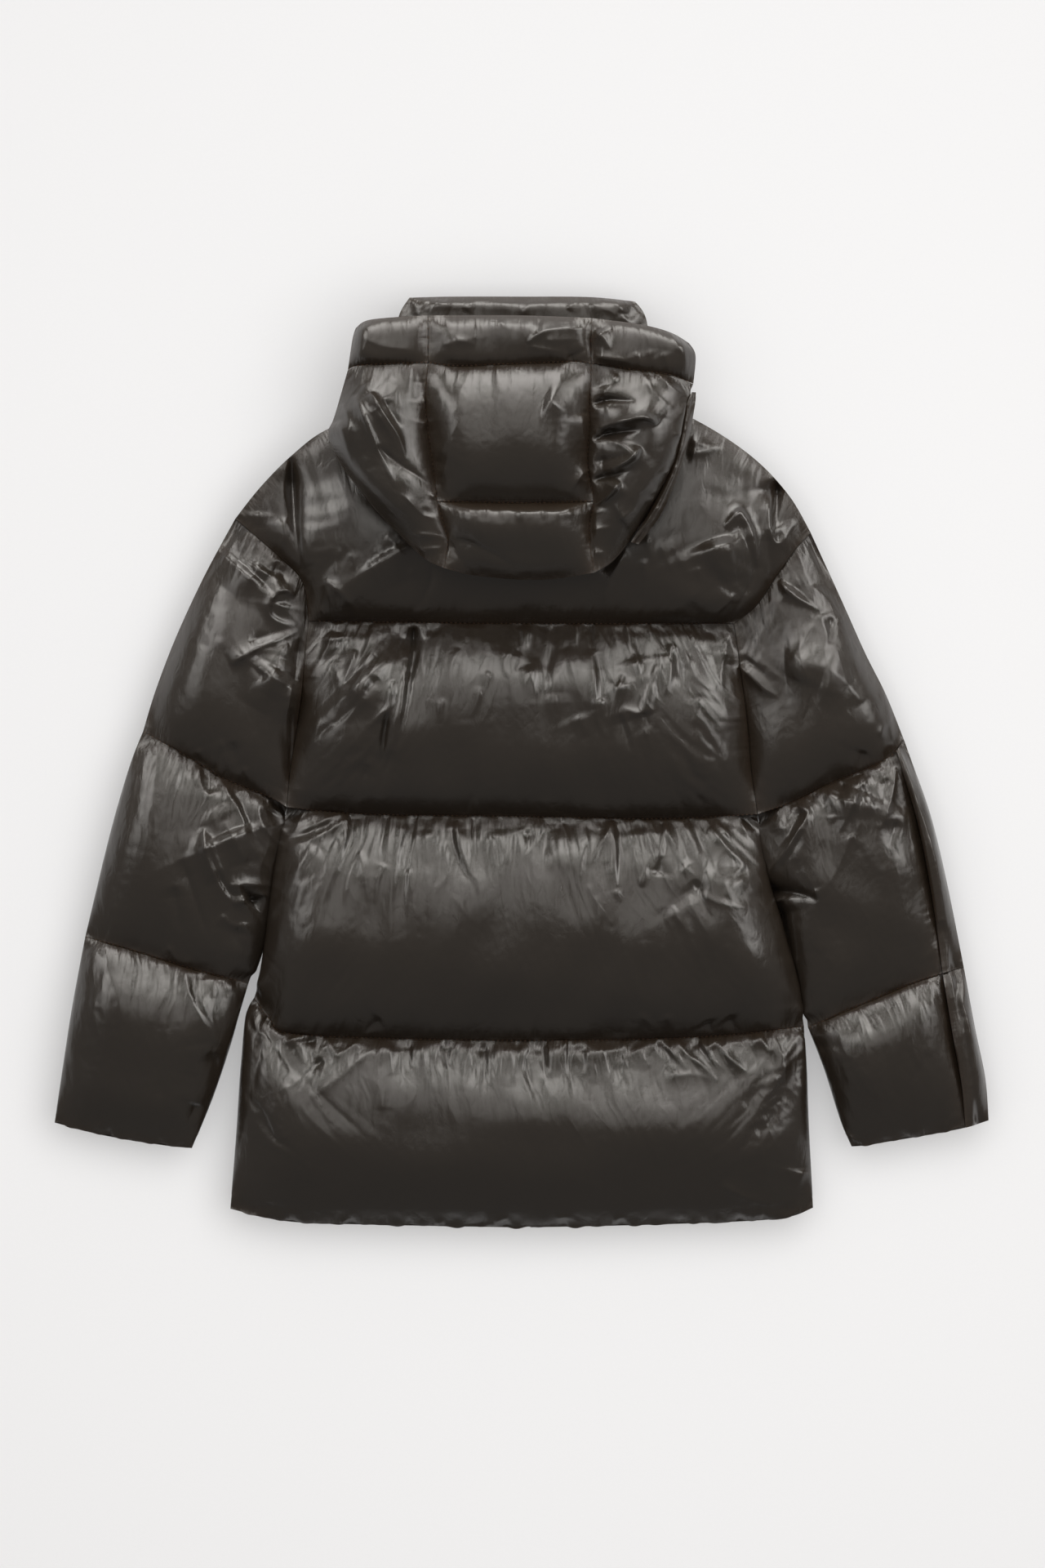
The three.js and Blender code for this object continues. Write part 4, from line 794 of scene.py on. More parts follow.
        "bulge": [[(286, -30), (280, -50)]],
        "valley": [[(245, -44), (238, -60), (226, -84)], [(284, -18), (276, -38)], [(301, -20), (298, -42)],
            [(322, -14), (318, -38)], [(248, -60), (238, -82), (226, -102)], [(330, -52), (324, -76)]],
        "deep": [[(218, -109), (235, -112), (250, -116), (262, -122)],
            [(234, -120), (240, -148), (248, -172)]],
    },
    "rightSleeveCuff": {
        "fine": [[(288, -218), (291, -228)], [(295, -217), (296, -228)], [(304, -212), (305, -222)],
            [(312, -210), (312, -220)], [(350, -195), (352, -205)], [(357, -193), (361, -203)],
            [(262, -226), (268, -235)], [(372, -322), (380, -312)], [(302, -339), (308, -335)],
            [(292, -330), (300, -336)]],
        "soft": [[(276, -250), (272, -285)]],
        "valley": [[(264, -240), (272, -262), (276, -290)]],
    },
    "turnMiddle": {
        "sharp": [[(331, 14), (342, -15), (352, -60), (362, -110), (371, -160)],
            [(345, 2), (360, -50), (375, -110), (387, -172)]],
        "fine": [[(336, 8), (350, -40), (365, -90), (376, -150), (378, -178)]],
        "valley": [[(370, -140), (373, -160), (371, -180)]],
    },
    "turnCuff": {
        "sharp": [[(372, -185), (372, -215), (378, -240), (385, -262), (387, -300), (381, -318)],
            [(386, -180), (395, -215), (403, -260), (408, -292)]],
        "fine": [[(378, -185), (385, -205), (395, -235), (400, -280), (402, -312)],
            [(390, -225), (388, -250), (389, -282)]],
        "valley": [[(381, -195), (386, -220), (393, -250), (396, -300)]],
    },
    "collarBack": {
        "fine": [[(0, 393), (7, 404), (13, 407)], [(40, 399), (48, 406), (56, 407)],
            [(-50, 398), (-44, 406)]],
        "soft": [[(60, 404), (80, 396), (98, 388)], [(-80, 404), (-40, 402)]],
    },
    "brimLeft": {
        "soft": [[(-145, 375), (-120, 365), (-95, 362)]],
        "fine": [[(-115, 349), (-110, 341), (-106, 350)], [(-138, 384), (-132, 372)]],
    },
    "brimCentre": {
        "sharp": [[(5, 367), (20, 378), (50, 381), (60, 380)]],
        "fine": [[(5, 365), (20, 362), (35, 360)], [(-60, 372), (-40, 366)], [(-20, 388), (-10, 378)]],
        "soft": [[(20, 370), (50, 371)], [(-70, 366), (-30, 374)]],
        "valley": [[(40, 354), (56, 362)]],
    },
    "brimRight": {
        "sharp": [[(64, 378), (72, 372), (78, 360)], [(63, 356), (80, 354), (94, 352)]],
        "fine": [[(140, 371), (143, 360), (145, 340)], [(100, 360), (106, 346)], [(112, 362), (116, 346)],
            [(124, 360), (130, 344)]],
        "soft": [[(66, 378), (76, 362)]],
    },
    "hoodSideLeft": {
        "fold": [[(-132, 324), (-125, 312), (-108, 285), (-102, 264)]],
        "sharp": [[(-146, 322), (-137, 300), (-128, 278), (-120, 262), (-110, 240)]],
        "fine": [[(-130, 310), (-115, 288), (-106, 269)], [(-157, 315), (-152, 300), (-151, 276)],
            [(-105, 235), (-90, 220), (-83, 215), (-72, 216)], [(-95, 200), (-80, 199), (-67, 197)],
            [(-90, 186), (-68, 188)], [(-86, 320), (-84, 306)], [(-84, 300), (-86, 290)],
            [(-79, 231), (-73, 241)]],
        "soft": [[(-140, 330), (-110, 300)], [(-160, 300), (-150, 262)]],
        "valley": [[(-127, 277), (-110, 263), (-90, 250), (-80, 241)], [(-122, 318), (-106, 292)]],
    },
    "hoodCentreUpper": {
        "soft": [[(-75, 265), (-60, 290), (-52, 302)], [(20, 320), (44, 304)]],
        "fine": [[(-70, 250), (-60, 285)], [(57, 250), (56, 237)]],
        "sharp": [[(60, 258), (50, 248), (42, 237), (41, 231)], [(54, 306), (55, 275)]],
        "bulge": [[(20, 316), (44, 308)]],
    },
    "hoodCentreLower": {
        "fine": [[(-32, 224), (-33, 214)], [(-10, 224), (-10, 212)], [(-2, 224), (0, 210)],
            [(18, 224), (20, 212)], [(40, 224), (44, 214)]],
        "soft": [[(-10, 218), (60, 218)]],
        "valley": [[(-62, 197), (-40, 190), (-20, 180), (0, 167)], [(-64, 195), (-55, 180), (-46, 168)]],
    },
    "hoodSideRight": {
        "fold": [[(118, 296), (108, 302), (90, 299), (75, 295), (62, 290)],
            [(104, 276), (97, 267), (88, 261), (70, 254)], [(86, 246), (80, 237), (72, 230), (64, 224)]],
        "groove": [[(63, 283), (80, 289), (104, 291)], [(63, 248), (82, 252), (98, 258)],
            [(63, 314), (76, 318), (100, 316)]],
        "fine": [[(63, 291), (75, 283), (90, 277), (100, 272)], [(75, 254), (90, 256), (97, 258)],
            [(108, 340), (115, 325), (130, 310)], [(118, 342), (130, 330), (140, 322)],
            [(85, 340), (70, 320)], [(62, 220), (75, 220)], [(62, 204), (80, 206)], [(63, 184), (75, 183)],
            [(136, 286), (128, 288)], [(125, 250), (118, 254)], [(118, 232), (110, 236)],
            [(113, 226), (106, 228)], [(139, 316), (136, 295), (130, 275)]],
        "soft": [[(72, 330), (76, 300)], [(86, 212), (100, 222)]],
        "valley": [[(64, 264), (78, 266), (95, 270)], [(70, 288), (88, 290), (106, 294)]],
    },
}


def pressCreases(points, name, strength):
    for kind, paths in creases.get(name, {}).items():
        look = creaseKinds[kind]
        for path in paths:
            drawn = smoothLine(path, 5)
            pressLine(points, drawn, strength * look["height"], look["wide"], look.get("blunt", 0.6))


# Lets the down push the cloth out over its side seams, so that they lie in a groove.
def bulgeSides(points, piece, look):
    u, v = panelPlaces(piece)
    edges = edgesOf(look)
    across, down = piece["across"] / mm, piece["down"] / mm
    ends = smoothStep(v * down / 14) * smoothStep((1 - v) * down / 14)
    for side, push in enumerate(look.get("bulge", (0, 0))):
        near = np.abs(side - u) * across / 6
        inner = patchPoints(edges, np.full_like(v, 0.9 * side + 0.05), v)
        outward = patchPoints(edges, np.full_like(v, side), v) - inner
        outward /= np.linalg.norm(outward, axis=1)[:, None]
        points[:, :2] += outward * (push * mm * near * np.exp(1 - near) * ends)[:, None]


# Folds, creases and swell on the filled panel; an under panel is then turned over and pressed flat.
def wrinkle(piece, name, look, seed):
    points = readPoints(piece.data)
    edges = edgesOf(look)
    rng = np.random.default_rng(seed)
    gatherSeams(points, piece, look, rng)
    crumple(points, look, edges, rng)
    pressCreases(points, name, look.get("creased", 1.2))
    bulgeSides(points, piece, look)
    if "wavyHem" in look:
        u, v = panelPlaces(piece)
        nearHem = smoothStep(1 - (1 - v) * piece["down"] / mm / 16)
        place = u * piece["across"] / mm
        waves = np.sin(place / 4.1 + 0.7) + np.sin(place / 2.7) * 0.6 + np.sin(place / 9 + 2)
        points[:, 1] += look["wavyHem"] * 0.45 * mm * waves * nearHem * smoothStep(np.minimum(u, 1 - u) * 30)
        points[:, 2] += look["wavyHem"] * 1.2 * mm * waves * nearHem * (1 - nearHem)
    lowest = (look["plane"] + 0.8) * mm
    points[:, 2] = np.maximum(points[:, 2], lowest)
    if look.get("under"):
        points[:, 2] = np.maximum(2 * look["plane"] * mm - points[:, 2], 0)
    piece.data.vertices.foreach_set("co", points.ravel())
    piece.data.update()


# Folds the open rim down to the plane that the panel lies on, and closes it there.
def close(piece, planeHeight):
    bm = bmesh.new()
    bm.from_mesh(piece.data)
    rim = [e for e in bm.edges if e.is_boundary]
    for edge in rim:
        edge.smooth = False
    made = bmesh.ops.extrude_edge_only(bm, edges=rim)["geom"]
    for vert in [g for g in made if isinstance(g, bmesh.types.BMVert)]:
        vert.co.z = planeHeight * mm
    bmesh.ops.contextual_create(bm, geom=[e for e in bm.edges if e.is_boundary])
    bmesh.ops.recalc_face_normals(bm, faces=bm.faces)
    bm.to_mesh(piece.data)
    bm.free()


def makeGroup(name, inputs, outputs):
    group = bpy.data.node_groups.new(name, "ShaderNodeTree")
    for label, value in inputs.items():
        kind = "NodeSocketVector" if label == "Vector" else "NodeSocketFloat"
        socket = group.interface.new_socket(label, in_out="INPUT", socket_type=kind)
        if label != "Vector":
            socket.default_value = value
    for label in outputs:
        kind = "NodeSocketColor" if label == "Color" else "NodeSocketFloat"
        group.interface.new_socket(label, in_out="OUTPUT", socket_type=kind)
    given = group.nodes.new("NodeGroupInput")
    result = group.nodes.new("NodeGroupOutput")
    return group, given.outputs, result.inputs


# Sets a socket to a number, or links another node's output to it.
def feed(tree, value, socket):
    if isinstance(value, (int, float)):
        socket.default_value = value
    else:
        tree.links.new(value, socket)


def calculate(tree, operation, *values):
    node = tree.nodes.new("ShaderNodeMath")
    node.operation = operation
    for socket, value in zip(node.inputs, values):
        feed(tree, value, socket)
    return node.outputs[0]


def combine(tree, *values):
    node = tree.nodes.new("ShaderNodeCombineXYZ")
    for socket, value in zip(node.inputs, values):
        feed(tree, value, socket)
    return node.outputs[0]


def separate(tree, vector):
    node = tree.nodes.new("ShaderNodeSeparateXYZ")
    tree.links.new(vector, node.inputs[0])
    return node.outputs["X"], node.outputs["Y"]


def addNoise(tree, vector, **values):
    noise = tree.nodes.new("ShaderNodeTexNoise")
    tree.links.new(vector, noise.inputs["Vector"])
    for label, value in values.items():
        feed(tree, value, noise.inputs[label])
    return noise.outputs[0]


# Plain weave: threads cross at a pitch in metres, read from the cloth's own map.
def makeWeave():
    group, given, result = makeGroup("weave", {"Vector": None, "Pitch": 0.0006}, ("Height",))
    x, y = separate(group, given["Vector"])
    turns = calculate(group, "DIVIDE", 6.2832, given["Pitch"])
    warp = calculate(group, "SINE", calculate(group, "MULTIPLY", x, turns))
    weft = calculate(group, "SINE", calculate(group, "MULTIPLY", y, turns))
    group.links.new(calculate(group, "MULTIPLY", warp, weft), result["Height"])
    return group


# How far a noise is from its middle value, which draws its ridges.
def ridgeOf(group, noise):
    return calculate(group, "ABSOLUTE", calculate(group, "SUBTRACT", noise, 0.5))


# Fades out with the distance from a seam.
def fadeOf(group, distance, reach):
    share = calculate(group, "DIVIDE", distance, reach)
    return calculate(group, "EXPONENT", calculate(group, "MULTIPLY", share, -1))


# Fine crinkles of thin coated cloth over down, long in the direction the cloth hangs.
def makeCrinkle():
    group, given, result = makeGroup("crinkle", {"Vector": None, "Scale": 90.0, "Stretch": 0.45}, ("Height",))
    place = group.nodes.new("ShaderNodeVectorMath")
    place.operation = "MULTIPLY"
    group.links.new(given["Vector"], place.inputs[0])
    group.links.new(combine(group, 1, given["Stretch"], 1), place.inputs[1])
    noise = addNoise(group, place.outputs[0], Scale=given["Scale"], Detail=4, Roughness=0.52, Distortion=0.6)
    group.links.new(calculate(group, "SUBTRACT", noise, ridgeOf(group, noise)), result["Height"])
    return group


# The tiny gathers that stand in a row along each seam.
def makeSeamGathers():
    inputs = {"Across": 0.0, "Near": 0.0, "Pitch": 0.0032, "Reach": 0.006}
    group, given, result = makeGroup("seamGathers", inputs, ("Height", "Mask"))
    place = combine(group, calculate(group, "DIVIDE", given["Across"], given["Pitch"]),
                    calculate(group, "MULTIPLY", given["Near"], 60))
    noise = addNoise(group, place, Scale=1, Detail=1)
    mask = fadeOf(group, given["Near"], given["Reach"])
    group.links.new(calculate(group, "MULTIPLY", noise, mask), result["Height"])
    group.links.new(mask, result["Mask"])
    return group


# Thin streaks of creased cloth, long in the way it drapes and fading with the distance from the seam above.
def makeStreaks():
    inputs = {"Vector": None, "Pitch": 0.007, "Long": 0.05, "Reach": 0.06, "Seed": 0.0}
    group, given, result = makeGroup("streaks", inputs, ("Height",))
    x, y = separate(group, given["Vector"])
    bend = addNoise(group, given["Vector"], Scale=14, Detail=1)
    bent = calculate(group, "ADD", x, calculate(group, "MULTIPLY", bend, 0.035))
    place = combine(group, calculate(group, "DIVIDE", bent, given["Pitch"]),
                    calculate(group, "DIVIDE", y, given["Long"]), given["Seed"])
    noise = addNoise(group, place, Scale=1, Detail=1.4, Roughness=0.4)
    depth = calculate(group, "MULTIPLY_ADD", fadeOf(group, y, given["Reach"]), -1.9, -0.1)
    group.links.new(calculate(group, "MULTIPLY", ridgeOf(group, noise), depth), result["Height"])
    return group


# The dye is never quite even.
def makeDye():
    group, given, result = makeGroup("dye", {"Vector": None, "Scale": 7.0, "Spread": 0.14}, ("Factor",))
    noise = addNoise(group, given["Vector"], Scale=given["Scale"], Detail=3)
    swing = calculate(group, "MULTIPLY", calculate(group, "SUBTRACT", noise, 0.5), given["Spread"])
    group.links.new(calculate(group, "ADD", 1.0, calculate(group, "MULTIPLY", swing, 2)), result["Factor"])
    return group


weave = makeWeave()
crinkle = makeCrinkle()
seamGathers = makeSeamGathers()
streaks = makeStreaks()
dye = makeDye()


def useGroup(tree, group, **values):
    node = tree.nodes.new("ShaderNodeGroup")
    node.node_tree = group
    for label, value in values.items():
        feed(tree, value, node.inputs[label])
    return node.outputs


# A new material with its node tree, its shader and its Object coordinates.
def newMaterial(name):
    material = bpy.data.materials.new(name)
    material.use_nodes = True
    tree = material.node_tree
    place = tree.nodes.new("ShaderNodeTexCoord").outputs["Object"]
    return material, tree, tree.nodes["Principled BSDF"], place


def uvMap(tree, name):
    node = tree.nodes.new("ShaderNodeUVMap")
    node.uv_map = name
    return node.outputs[0]


def addBump(tree, shader, height, distance):
    bump = tree.nodes.new("ShaderNodeBump")
    bump.inputs["Distance"].default_value = distance
    tree.links.new(height, bump.inputs["Height"])
    tree.links.new(bump.outputs[0], shader.inputs["Normal"])


# Gives the shader a colour, a tuple or an output, made lighter and darker by the dye.
def addColour(tree, shader, colour, shade):
    scaled = tree.nodes.new("ShaderNodeVectorMath")
    scaled.operation = "SCALE"
    if isinstance(colour, tuple):
        scaled.inputs[0].default_value = colour
    else:
        tree.links.new(colour, scaled.inputs[0])
    tree.links.new(shade, scaled.inputs["Scale"])
    tree.links.new(scaled.outputs[0], shader.inputs["Base Color"])


# Glossy coated nylon: browner and a little darker along its seams, partly a seam tone and partly painted
# shade in the seam grooves, crinkled, with the seams' tiny gathers in its bump.
def nylon(name, look):
    material, tree, shader, place = newMaterial(name)
    clothMap, drape = uvMap(tree, "UVMap"), uvMap(tree, "drape")
    alongX, alongY = separate(tree, clothMap)
    fromEnds, fromSides = separate(tree, uvMap(tree, "seams"))
    reach = look["streakReach"]
    threads = useGroup(tree, weave, Vector=clothMap, Pitch=look["pitch"])["Height"]
    crinkles = useGroup(tree, crinkle, Vector=place, Scale=look["crinkleScale"])["Height"]
    long = useGroup(tree, streaks, Vector=drape, Pitch=0.026, Long=0.1, Reach=reach)["Height"]
    short = useGroup(tree, streaks, Vector=drape, Pitch=0.012, Long=0.05, Reach=0.8 * reach, Seed=7)["Height"]
    ticks = useGroup(tree, seamGathers, Across=alongX, Near=fromEnds)
    sideTicks = useGroup(tree, seamGathers, Across=alongY, Near=fromSides)
    shade = useGroup(tree, dye, Vector=place)["Factor"]
    gathered = calculate(tree, "ADD", ticks["Height"], calculate(tree, "MULTIPLY", sideTicks["Height"], 0.25))
    relief = calculate(tree, "MULTIPLY", gathered, look["gatherHeight"])
    for layer, height in ((crinkles, look["crinkleHeight"]), (threads, look["threadHeight"]),
                          (long, look["streakHeight"]), (short, 0.4 * look["streakHeight"])):
        relief = calculate(tree, "ADD", relief, calculate(tree, "MULTIPLY", layer, height))
    addBump(tree, shader, relief, 0.001)
    # Near the seams the colour turns browner and a little darker, partly a seam tone and partly painted shade
    # in the grooves; the cloth is also rougher there.
    nearSeam = calculate(tree, "MAXIMUM", ticks["Mask"], sideTicks["Mask"])
    mix = tree.nodes.new("ShaderNodeMix")
    mix.data_type = "RGBA"
    mix.inputs["A"].default_value = (*look["colour"], 1)
    mix.inputs["B"].default_value = (*look["seamTintAndShade"], 1)
    tree.links.new(calculate(tree, "MULTIPLY", nearSeam, 0.7), mix.inputs["Factor"])
    addColour(tree, shader, mix.outputs["Result"], shade)
    rough = calculate(tree, "MULTIPLY_ADD", shade, 0.10, look["roughness"] - 0.10)
    tree.links.new(calculate(tree, "MULTIPLY_ADD", nearSeam, 0.08, rough), shader.inputs["Roughness"])
    shader.inputs["Specular IOR Level"].default_value = look["shine"]
    return material


# The seam colour is the browner, darker band along the seams: partly a seam tone, partly painted shade in the
# grooves.
cloth = {"colour": (0.0225, 0.0178, 0.0138), "seamTintAndShade": (0.026, 0.016, 0.009), "roughness": 0.21,
         "shine": 0.68, "pitch": 0.0006, "threadHeight": 0.012, "crinkleScale": 120.0, "crinkleHeight": 0.3,
         "gatherHeight": 1.3, "streakHeight": 3.6, "streakReach": 0.065}
shellNylon = nylon("shellNylon", cloth)
hoodNylon = nylon("hoodNylon", {**cloth, "colour": (0.0225, 0.018, 0.0140), "crinkleHeight": 0.25,
                               "streakHeight": 2.0, "streakReach": 0.035})
print("nylon ready")


def shadeSmooth(piece):
    for polygon in piece.data.polygons:
        polygon.use_smooth = True


def dress(piece, look, material):
    piece.data.materials.clear()
    piece.data.materials.append(material)
    shadeSmooth(piece)
    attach(piece, "root")
    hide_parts(look["node"])


for seed, (name, piece) in enumerate(pieces.items(), 101):
    look = panels[name]
    settle(piece, look)
    subdivide(piece)
    wrinkle(piece, name, look, seed)
    close(piece, look["plane"])
print("panels wrinkled and closed")


# The right sleeve's front pieces run on over the outer edge as a strip, so each strip joins its front.
for frontName, stripName in (("rightSleeveFrontMiddle", "turnMiddle"), ("rightSleeveFrontCuff", "turnCuff")):
    selectOnly([pieces[stripName], pieces[frontName]], pieces[frontName])
    bpy.ops.object.join()
    del pieces[stripName]

for name, piece in pieces.items():
    dress(piece, panels[name], hoodNylon if panels[name]["slot"] == "hood" else shellNylon)
print("panels dressed:", len(pieces))

# Brown thread: one stitch, copied along each seam at its pitch; the rows are listed by their height in mm.
stitch = {"long": 2.5, "thick": 0.55, "pitch": 4.0, "sway": 0.12, "colour": (0.085, 0.044, 0.022)}
stitchRows = {54.2: ("chest", "waist", "hemSeam"), 54.0: ("elbowL", "wristL", "elbowBackR", "wristBackR"),
              112.6: ("brimSeamL", "brimSeamC", "brimSeamR", "hoodCross", "hoodSeamL", "hoodSeamR",
                      "brimJoinL", "brimJoinR")}
thread, tree, shader, place = newMaterial("thread")
addBump(tree, shader, useGroup(tree, weave, Vector=place, Pitch=0.0004)["Height"], 0.0001)
uneven = useGroup(tree, dye, Vector=place, Scale=300.0, Spread=0.5)["Factor"]
addColour(tree, shader, stitch["colour"], uneven)
shader.inputs["Roughness"].default_value = 0.55

bpy.ops.object.select_all(action="DESELECT")
bpy.ops.mesh.primitive_uv_sphere_add(segments=6, ring_count=4, radius=0.5, location=(0, 0, 0))
oneStitch = bpy.context.object
oneStitch.name = "oneStitch"
stitchPoints = readPoints(oneStitch.data) * [stitch["long"] * mm, stitch["thick"] * mm, stitch["thick"] * mm]
rng = np.random.default_rng(5)
for rowName, height in [(rowName, height) for height, names in stitchRows.items() for rowName in names]:
    line = lines[rowName]
    density = 0.5 if rowName.startswith("brimJoin") else 1
    length = lengthsAlong(line)[-1] / mm
    copies = []
    for share in np.arange(0.5, length * density / stitch["pitch"]) * stitch["pitch"] / length / density:
        a, b = (pointAt(line, np.array([t]))[0] for t in (share, min(share + 0.001, 1)))
        angle = math.atan2(*(b - a)[::-1]) + rng.normal(0, stitch["sway"])
        one = oneStitch.copy()
        one.data = oneStitch.data.copy()
        bpy.context.collection.objects.link(one)
        laid = stitchPoints @ np.array(Matrix.Rotation(-angle, 3, "Z"))
        one.data.vertices.foreach_set("co", (laid + [*a, height * mm]).ravel())
        copies.append(one)
    selectOnly(copies, copies[0])
    bpy.ops.object.join()
    row = bpy.context.object
    row.name = row.data.name = "stitches" + rowName[0].upper() + rowName[1:]
    row.data.materials.append(thread)
    shadeSmooth(row)
    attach(row, "root")
bpy.data.objects.remove(oneStitch)
print("seams stitched:", sum(len(names) for names in stitchRows.values()), "rows")

# The closed zip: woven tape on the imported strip, and one tooth repeated along its outer side underneath.
zipper = {"toothPitch": 3.0, "tooth": (4.6, 1.5, 1.6), "rounding": 0.4, "from": -406.0, "count": 269,
          "under": 36.9}
tape, tree, shader, place = newMaterial("zipTape")
threads = useGroup(tree, weave, Vector=place, Pitch=0.0009)["Height"]
addBump(tree, shader, threads, 0.0003)
shader.inputs["Base Color"].default_value = (0.012, 0.010, 0.009, 1)
tree.links.new(calculate(tree, "MULTIPLY_ADD", threads, 0.05, 0.75), shader.inputs["Roughness"])
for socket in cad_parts["front_zip"].material_slots:
    socket.material = tape
bpy.ops.object.select_all(action="DESELECT")
bpy.ops.mesh.primitive_cube_add(size=1, location=(0, zipper["from"] * mm, zipper["under"] * mm))
teeth = bpy.context.object
teeth.name = teeth.data.name = "zipTeeth"
teeth.scale = [size * mm for size in zipper["tooth"]]
bpy.ops.object.transform_apply(location=False, rotation=False, scale=True)
rounded = teeth.modifiers.new("rounded", "BEVEL")
rounded.width = zipper["rounding"] * mm
rounded.segments = 1
row = teeth.modifiers.new("row", "ARRAY")
row.count = zipper["count"]
row.use_relative_offset = False
row.use_constant_offset = True
row.constant_offset_displace = (0, zipper["toothPitch"] * mm, 0)
bpy.ops.object.modifier_apply(modifier="rounded")
bpy.ops.object.modifier_apply(modifier="row")
bpy.ops.object.transform_apply(location=True, rotation=False, scale=False)
nickel, tree, shader, place = newMaterial("darkNickel")
worn = useGroup(tree, dye, Vector=place, Scale=160.0, Spread=0.3)["Factor"]
shader.inputs["Metallic"].default_value = 1
shader.inputs["Base Color"].default_value = (0.16, 0.14, 0.12, 1)
tree.links.new(calculate(tree, "MULTIPLY", worn, 0.35), shader.inputs["Roughness"])
teeth.data.materials.append(nickel)
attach(teeth, "root")
print("zip dressed:", zipper["count"], "teeth")

# The hood's hidden layer: its solid, softened and wrinkled round its side.
inside = {"voxel": 5.0, "smooth": 6, "wrinkle": 1.6, "between": (65.5, 97.5), "middle": 290, "fadeIn": 8}
hoodUnder = bpy.data.objects.new("hoodUnder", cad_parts["hood_under"].data.copy())
bpy.context.collection.objects.link(hoodUnder)
selectOnly([hoodUnder], hoodUnder)
bpy.ops.object.mode_set(mode="EDIT")
bpy.ops.mesh.select_all(action="SELECT")
bpy.ops.mesh.remove_doubles(threshold=0.00005)
bpy.ops.object.mode_set(mode="OBJECT")
remesh = hoodUnder.modifiers.new("even", "REMESH")
remesh.mode = "VOXEL"
remesh.voxel_size = inside["voxel"] * mm
soften = hoodUnder.modifiers.new("soften", "SMOOTH")
soften.factor = 0.5
soften.iterations = inside["smooth"]
bpy.ops.object.modifier_apply(modifier="even")
bpy.ops.object.modifier_apply(modifier="soften")
subdivide(hoodUnder)
points = readPoints(hoodUnder.data)
around = np.arctan2(points[:, 1] - inside["middle"] * mm, points[:, 0])
fold = np.sin(around * 23 + points[:, 2] * 90) * np.sin(points[:, 2] * 260 + around * 5)
outwards = np.column_stack([np.cos(around), np.sin(around)])
low, high = (h * mm for h in inside["between"])
fadeIn = inside["fadeIn"] * mm
onSide = smoothStep((points[:, 2] - low) / fadeIn) * smoothStep((high - points[:, 2]) / fadeIn)
points[:, :2] -= outwards * (onSide * (1 + fold) * inside["wrinkle"] * mm)[:, None]
hoodUnder.data.vertices.foreach_set("co", points.ravel())
dress(hoodUnder, {"slot": "hood", "node": "hood_under"}, hoodNylon)
print("hood's hidden layer softened")

# Floor, camera and lights. The floor has its own lights, so that it stays pale under the dark cloth.
studio = {"cameraHeight": 16.0, "frameTall": 1.3824, "frameCentre": (0.0007, -0.0194), "imageHeight": 0.045,
          "sensor": 36, "floor": (0.83, 0.83, 0.835), "lampsAway": 3}

bpy.ops.object.select_all(action="DESELECT")
bpy.ops.mesh.primitive_plane_add(size=14, location=(0, 0, -0.0005))
floor = bpy.context.object
floor.name = "floor"
paper, tree, shader, place = newMaterial("paper")
grain = useGroup(tree, dye, Vector=place, Scale=400.0, Spread=0.01)["Factor"]
addColour(tree, shader, studio["floor"], grain)
shader.inputs["Roughness"].default_value = 0.9
floor.data.materials.append(paper)

cameraData = bpy.data.cameras.new("camera")
camera = bpy.data.objects.new("camera", cameraData)
bpy.context.collection.objects.link(camera)
camera.location = (*studio["frameCentre"], studio["cameraHeight"])
cameraData.sensor_width = studio["sensor"]
cameraData.lens = studio["sensor"] * (studio["cameraHeight"] - studio["imageHeight"]) / studio["frameTall"]
cameraData.clip_end = 60
bpy.context.scene.camera = camera


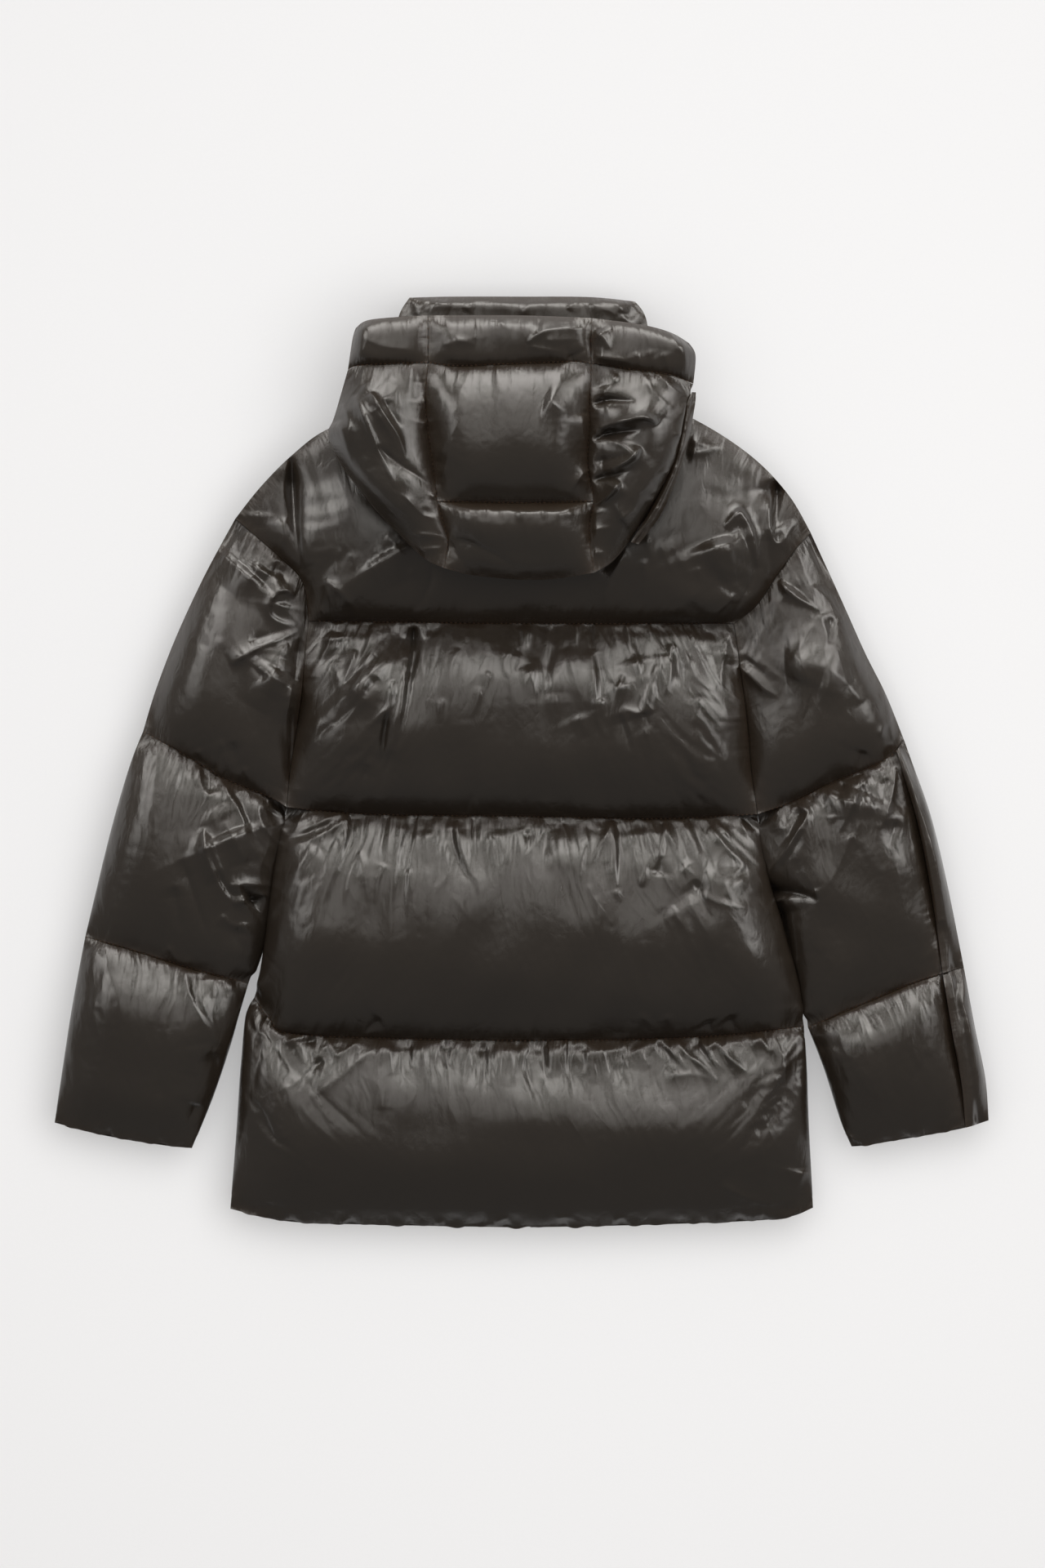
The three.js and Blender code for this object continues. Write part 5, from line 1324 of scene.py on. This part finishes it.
def softbox(name, place, aim, size, power, colour=(1, 1, 1), shadow=True):
    data = bpy.data.lights.new(name, "AREA")
    data.shape = "RECTANGLE"
    data.size, data.size_y = size
    data.energy = power
    data.color = colour
    data.use_shadow = shadow
    lamp = bpy.data.objects.new(name, data)
    bpy.context.collection.objects.link(lamp)
    lamp.location = place
    lamp.rotation_euler = (Vector(aim) - Vector(place)).to_track_quat("-Z", "Y").to_euler()
    lamp.visible_camera = False
    return lamp


# A lamp that lights the floor alone, or all but the floor.
def lightFloor(lamp, state):
    receivers = bpy.data.collections.new(lamp.name + "Receivers")
    receivers.objects.link(floor)
    lamp.light_linking.receiver_collection = receivers
    receivers.collection_objects[0].light_linking.link_state = state


# name, degrees from straight up, degrees round from the jacket's top, width, height, power
lamps = [("overhead", 15, 2, 1.7, 0.8, 5.5), ("highLight", 32, 2, 1.7, 0.85, 5.5),
         ("topLight", 48, 2, 1.7, 0.85, 11.5), ("lowLight", 66, 2, 1.7, 1.0, 27),
         ("horizonLight", 81, 2, 1.7, 0.75, 22),
         ("leftStrip", 60, -44, 0.7, 1.5, 20), ("rightStrip", 60, 47, 0.7, 1.5, 20)]
warm, centre = (1, 0.975, 0.935), (0, 0, 0)
for name, zenith, azimuth, wide, tall, power in lamps:
    down, turn = math.radians(zenith), math.radians(azimuth)
    direction = Vector((math.sin(down) * math.sin(turn), math.sin(down) * math.cos(turn), math.cos(down)))
    lamp = softbox(name, studio["lampsAway"] * direction, centre, (wide, tall), power, warm)
    lightFloor(lamp, "EXCLUDE")
lightFloor(softbox("rightLight", (2.4, 1.0, 1.6), centre, (1.2, 1.2), 18, (1, 0.98, 0.95)), "EXCLUDE")
lightFloor(softbox("leftLight", (-2.3, 0.9, 1.9), centre, (1.3, 1.3), 11, (1, 0.98, 0.95)), "EXCLUDE")
lightFloor(softbox("floorWash", (0, 0.3, 3.2), (0, 0.1, 0), (5, 5), 102, shadow=False), "INCLUDE")
lightFloor(softbox("floorShade", (0.6, 0.3, 3.0), centre, (3, 3), 38), "INCLUDE")
world = bpy.data.worlds.new("room")
bpy.context.scene.world = world
world.use_nodes = True
world.node_tree.nodes["Background"].inputs["Color"].default_value = (1.0, 0.95, 0.9, 1)
world.node_tree.nodes["Background"].inputs["Strength"].default_value = 0.25
bpy.context.scene.view_settings.view_transform = "Standard"
print("studio lit")
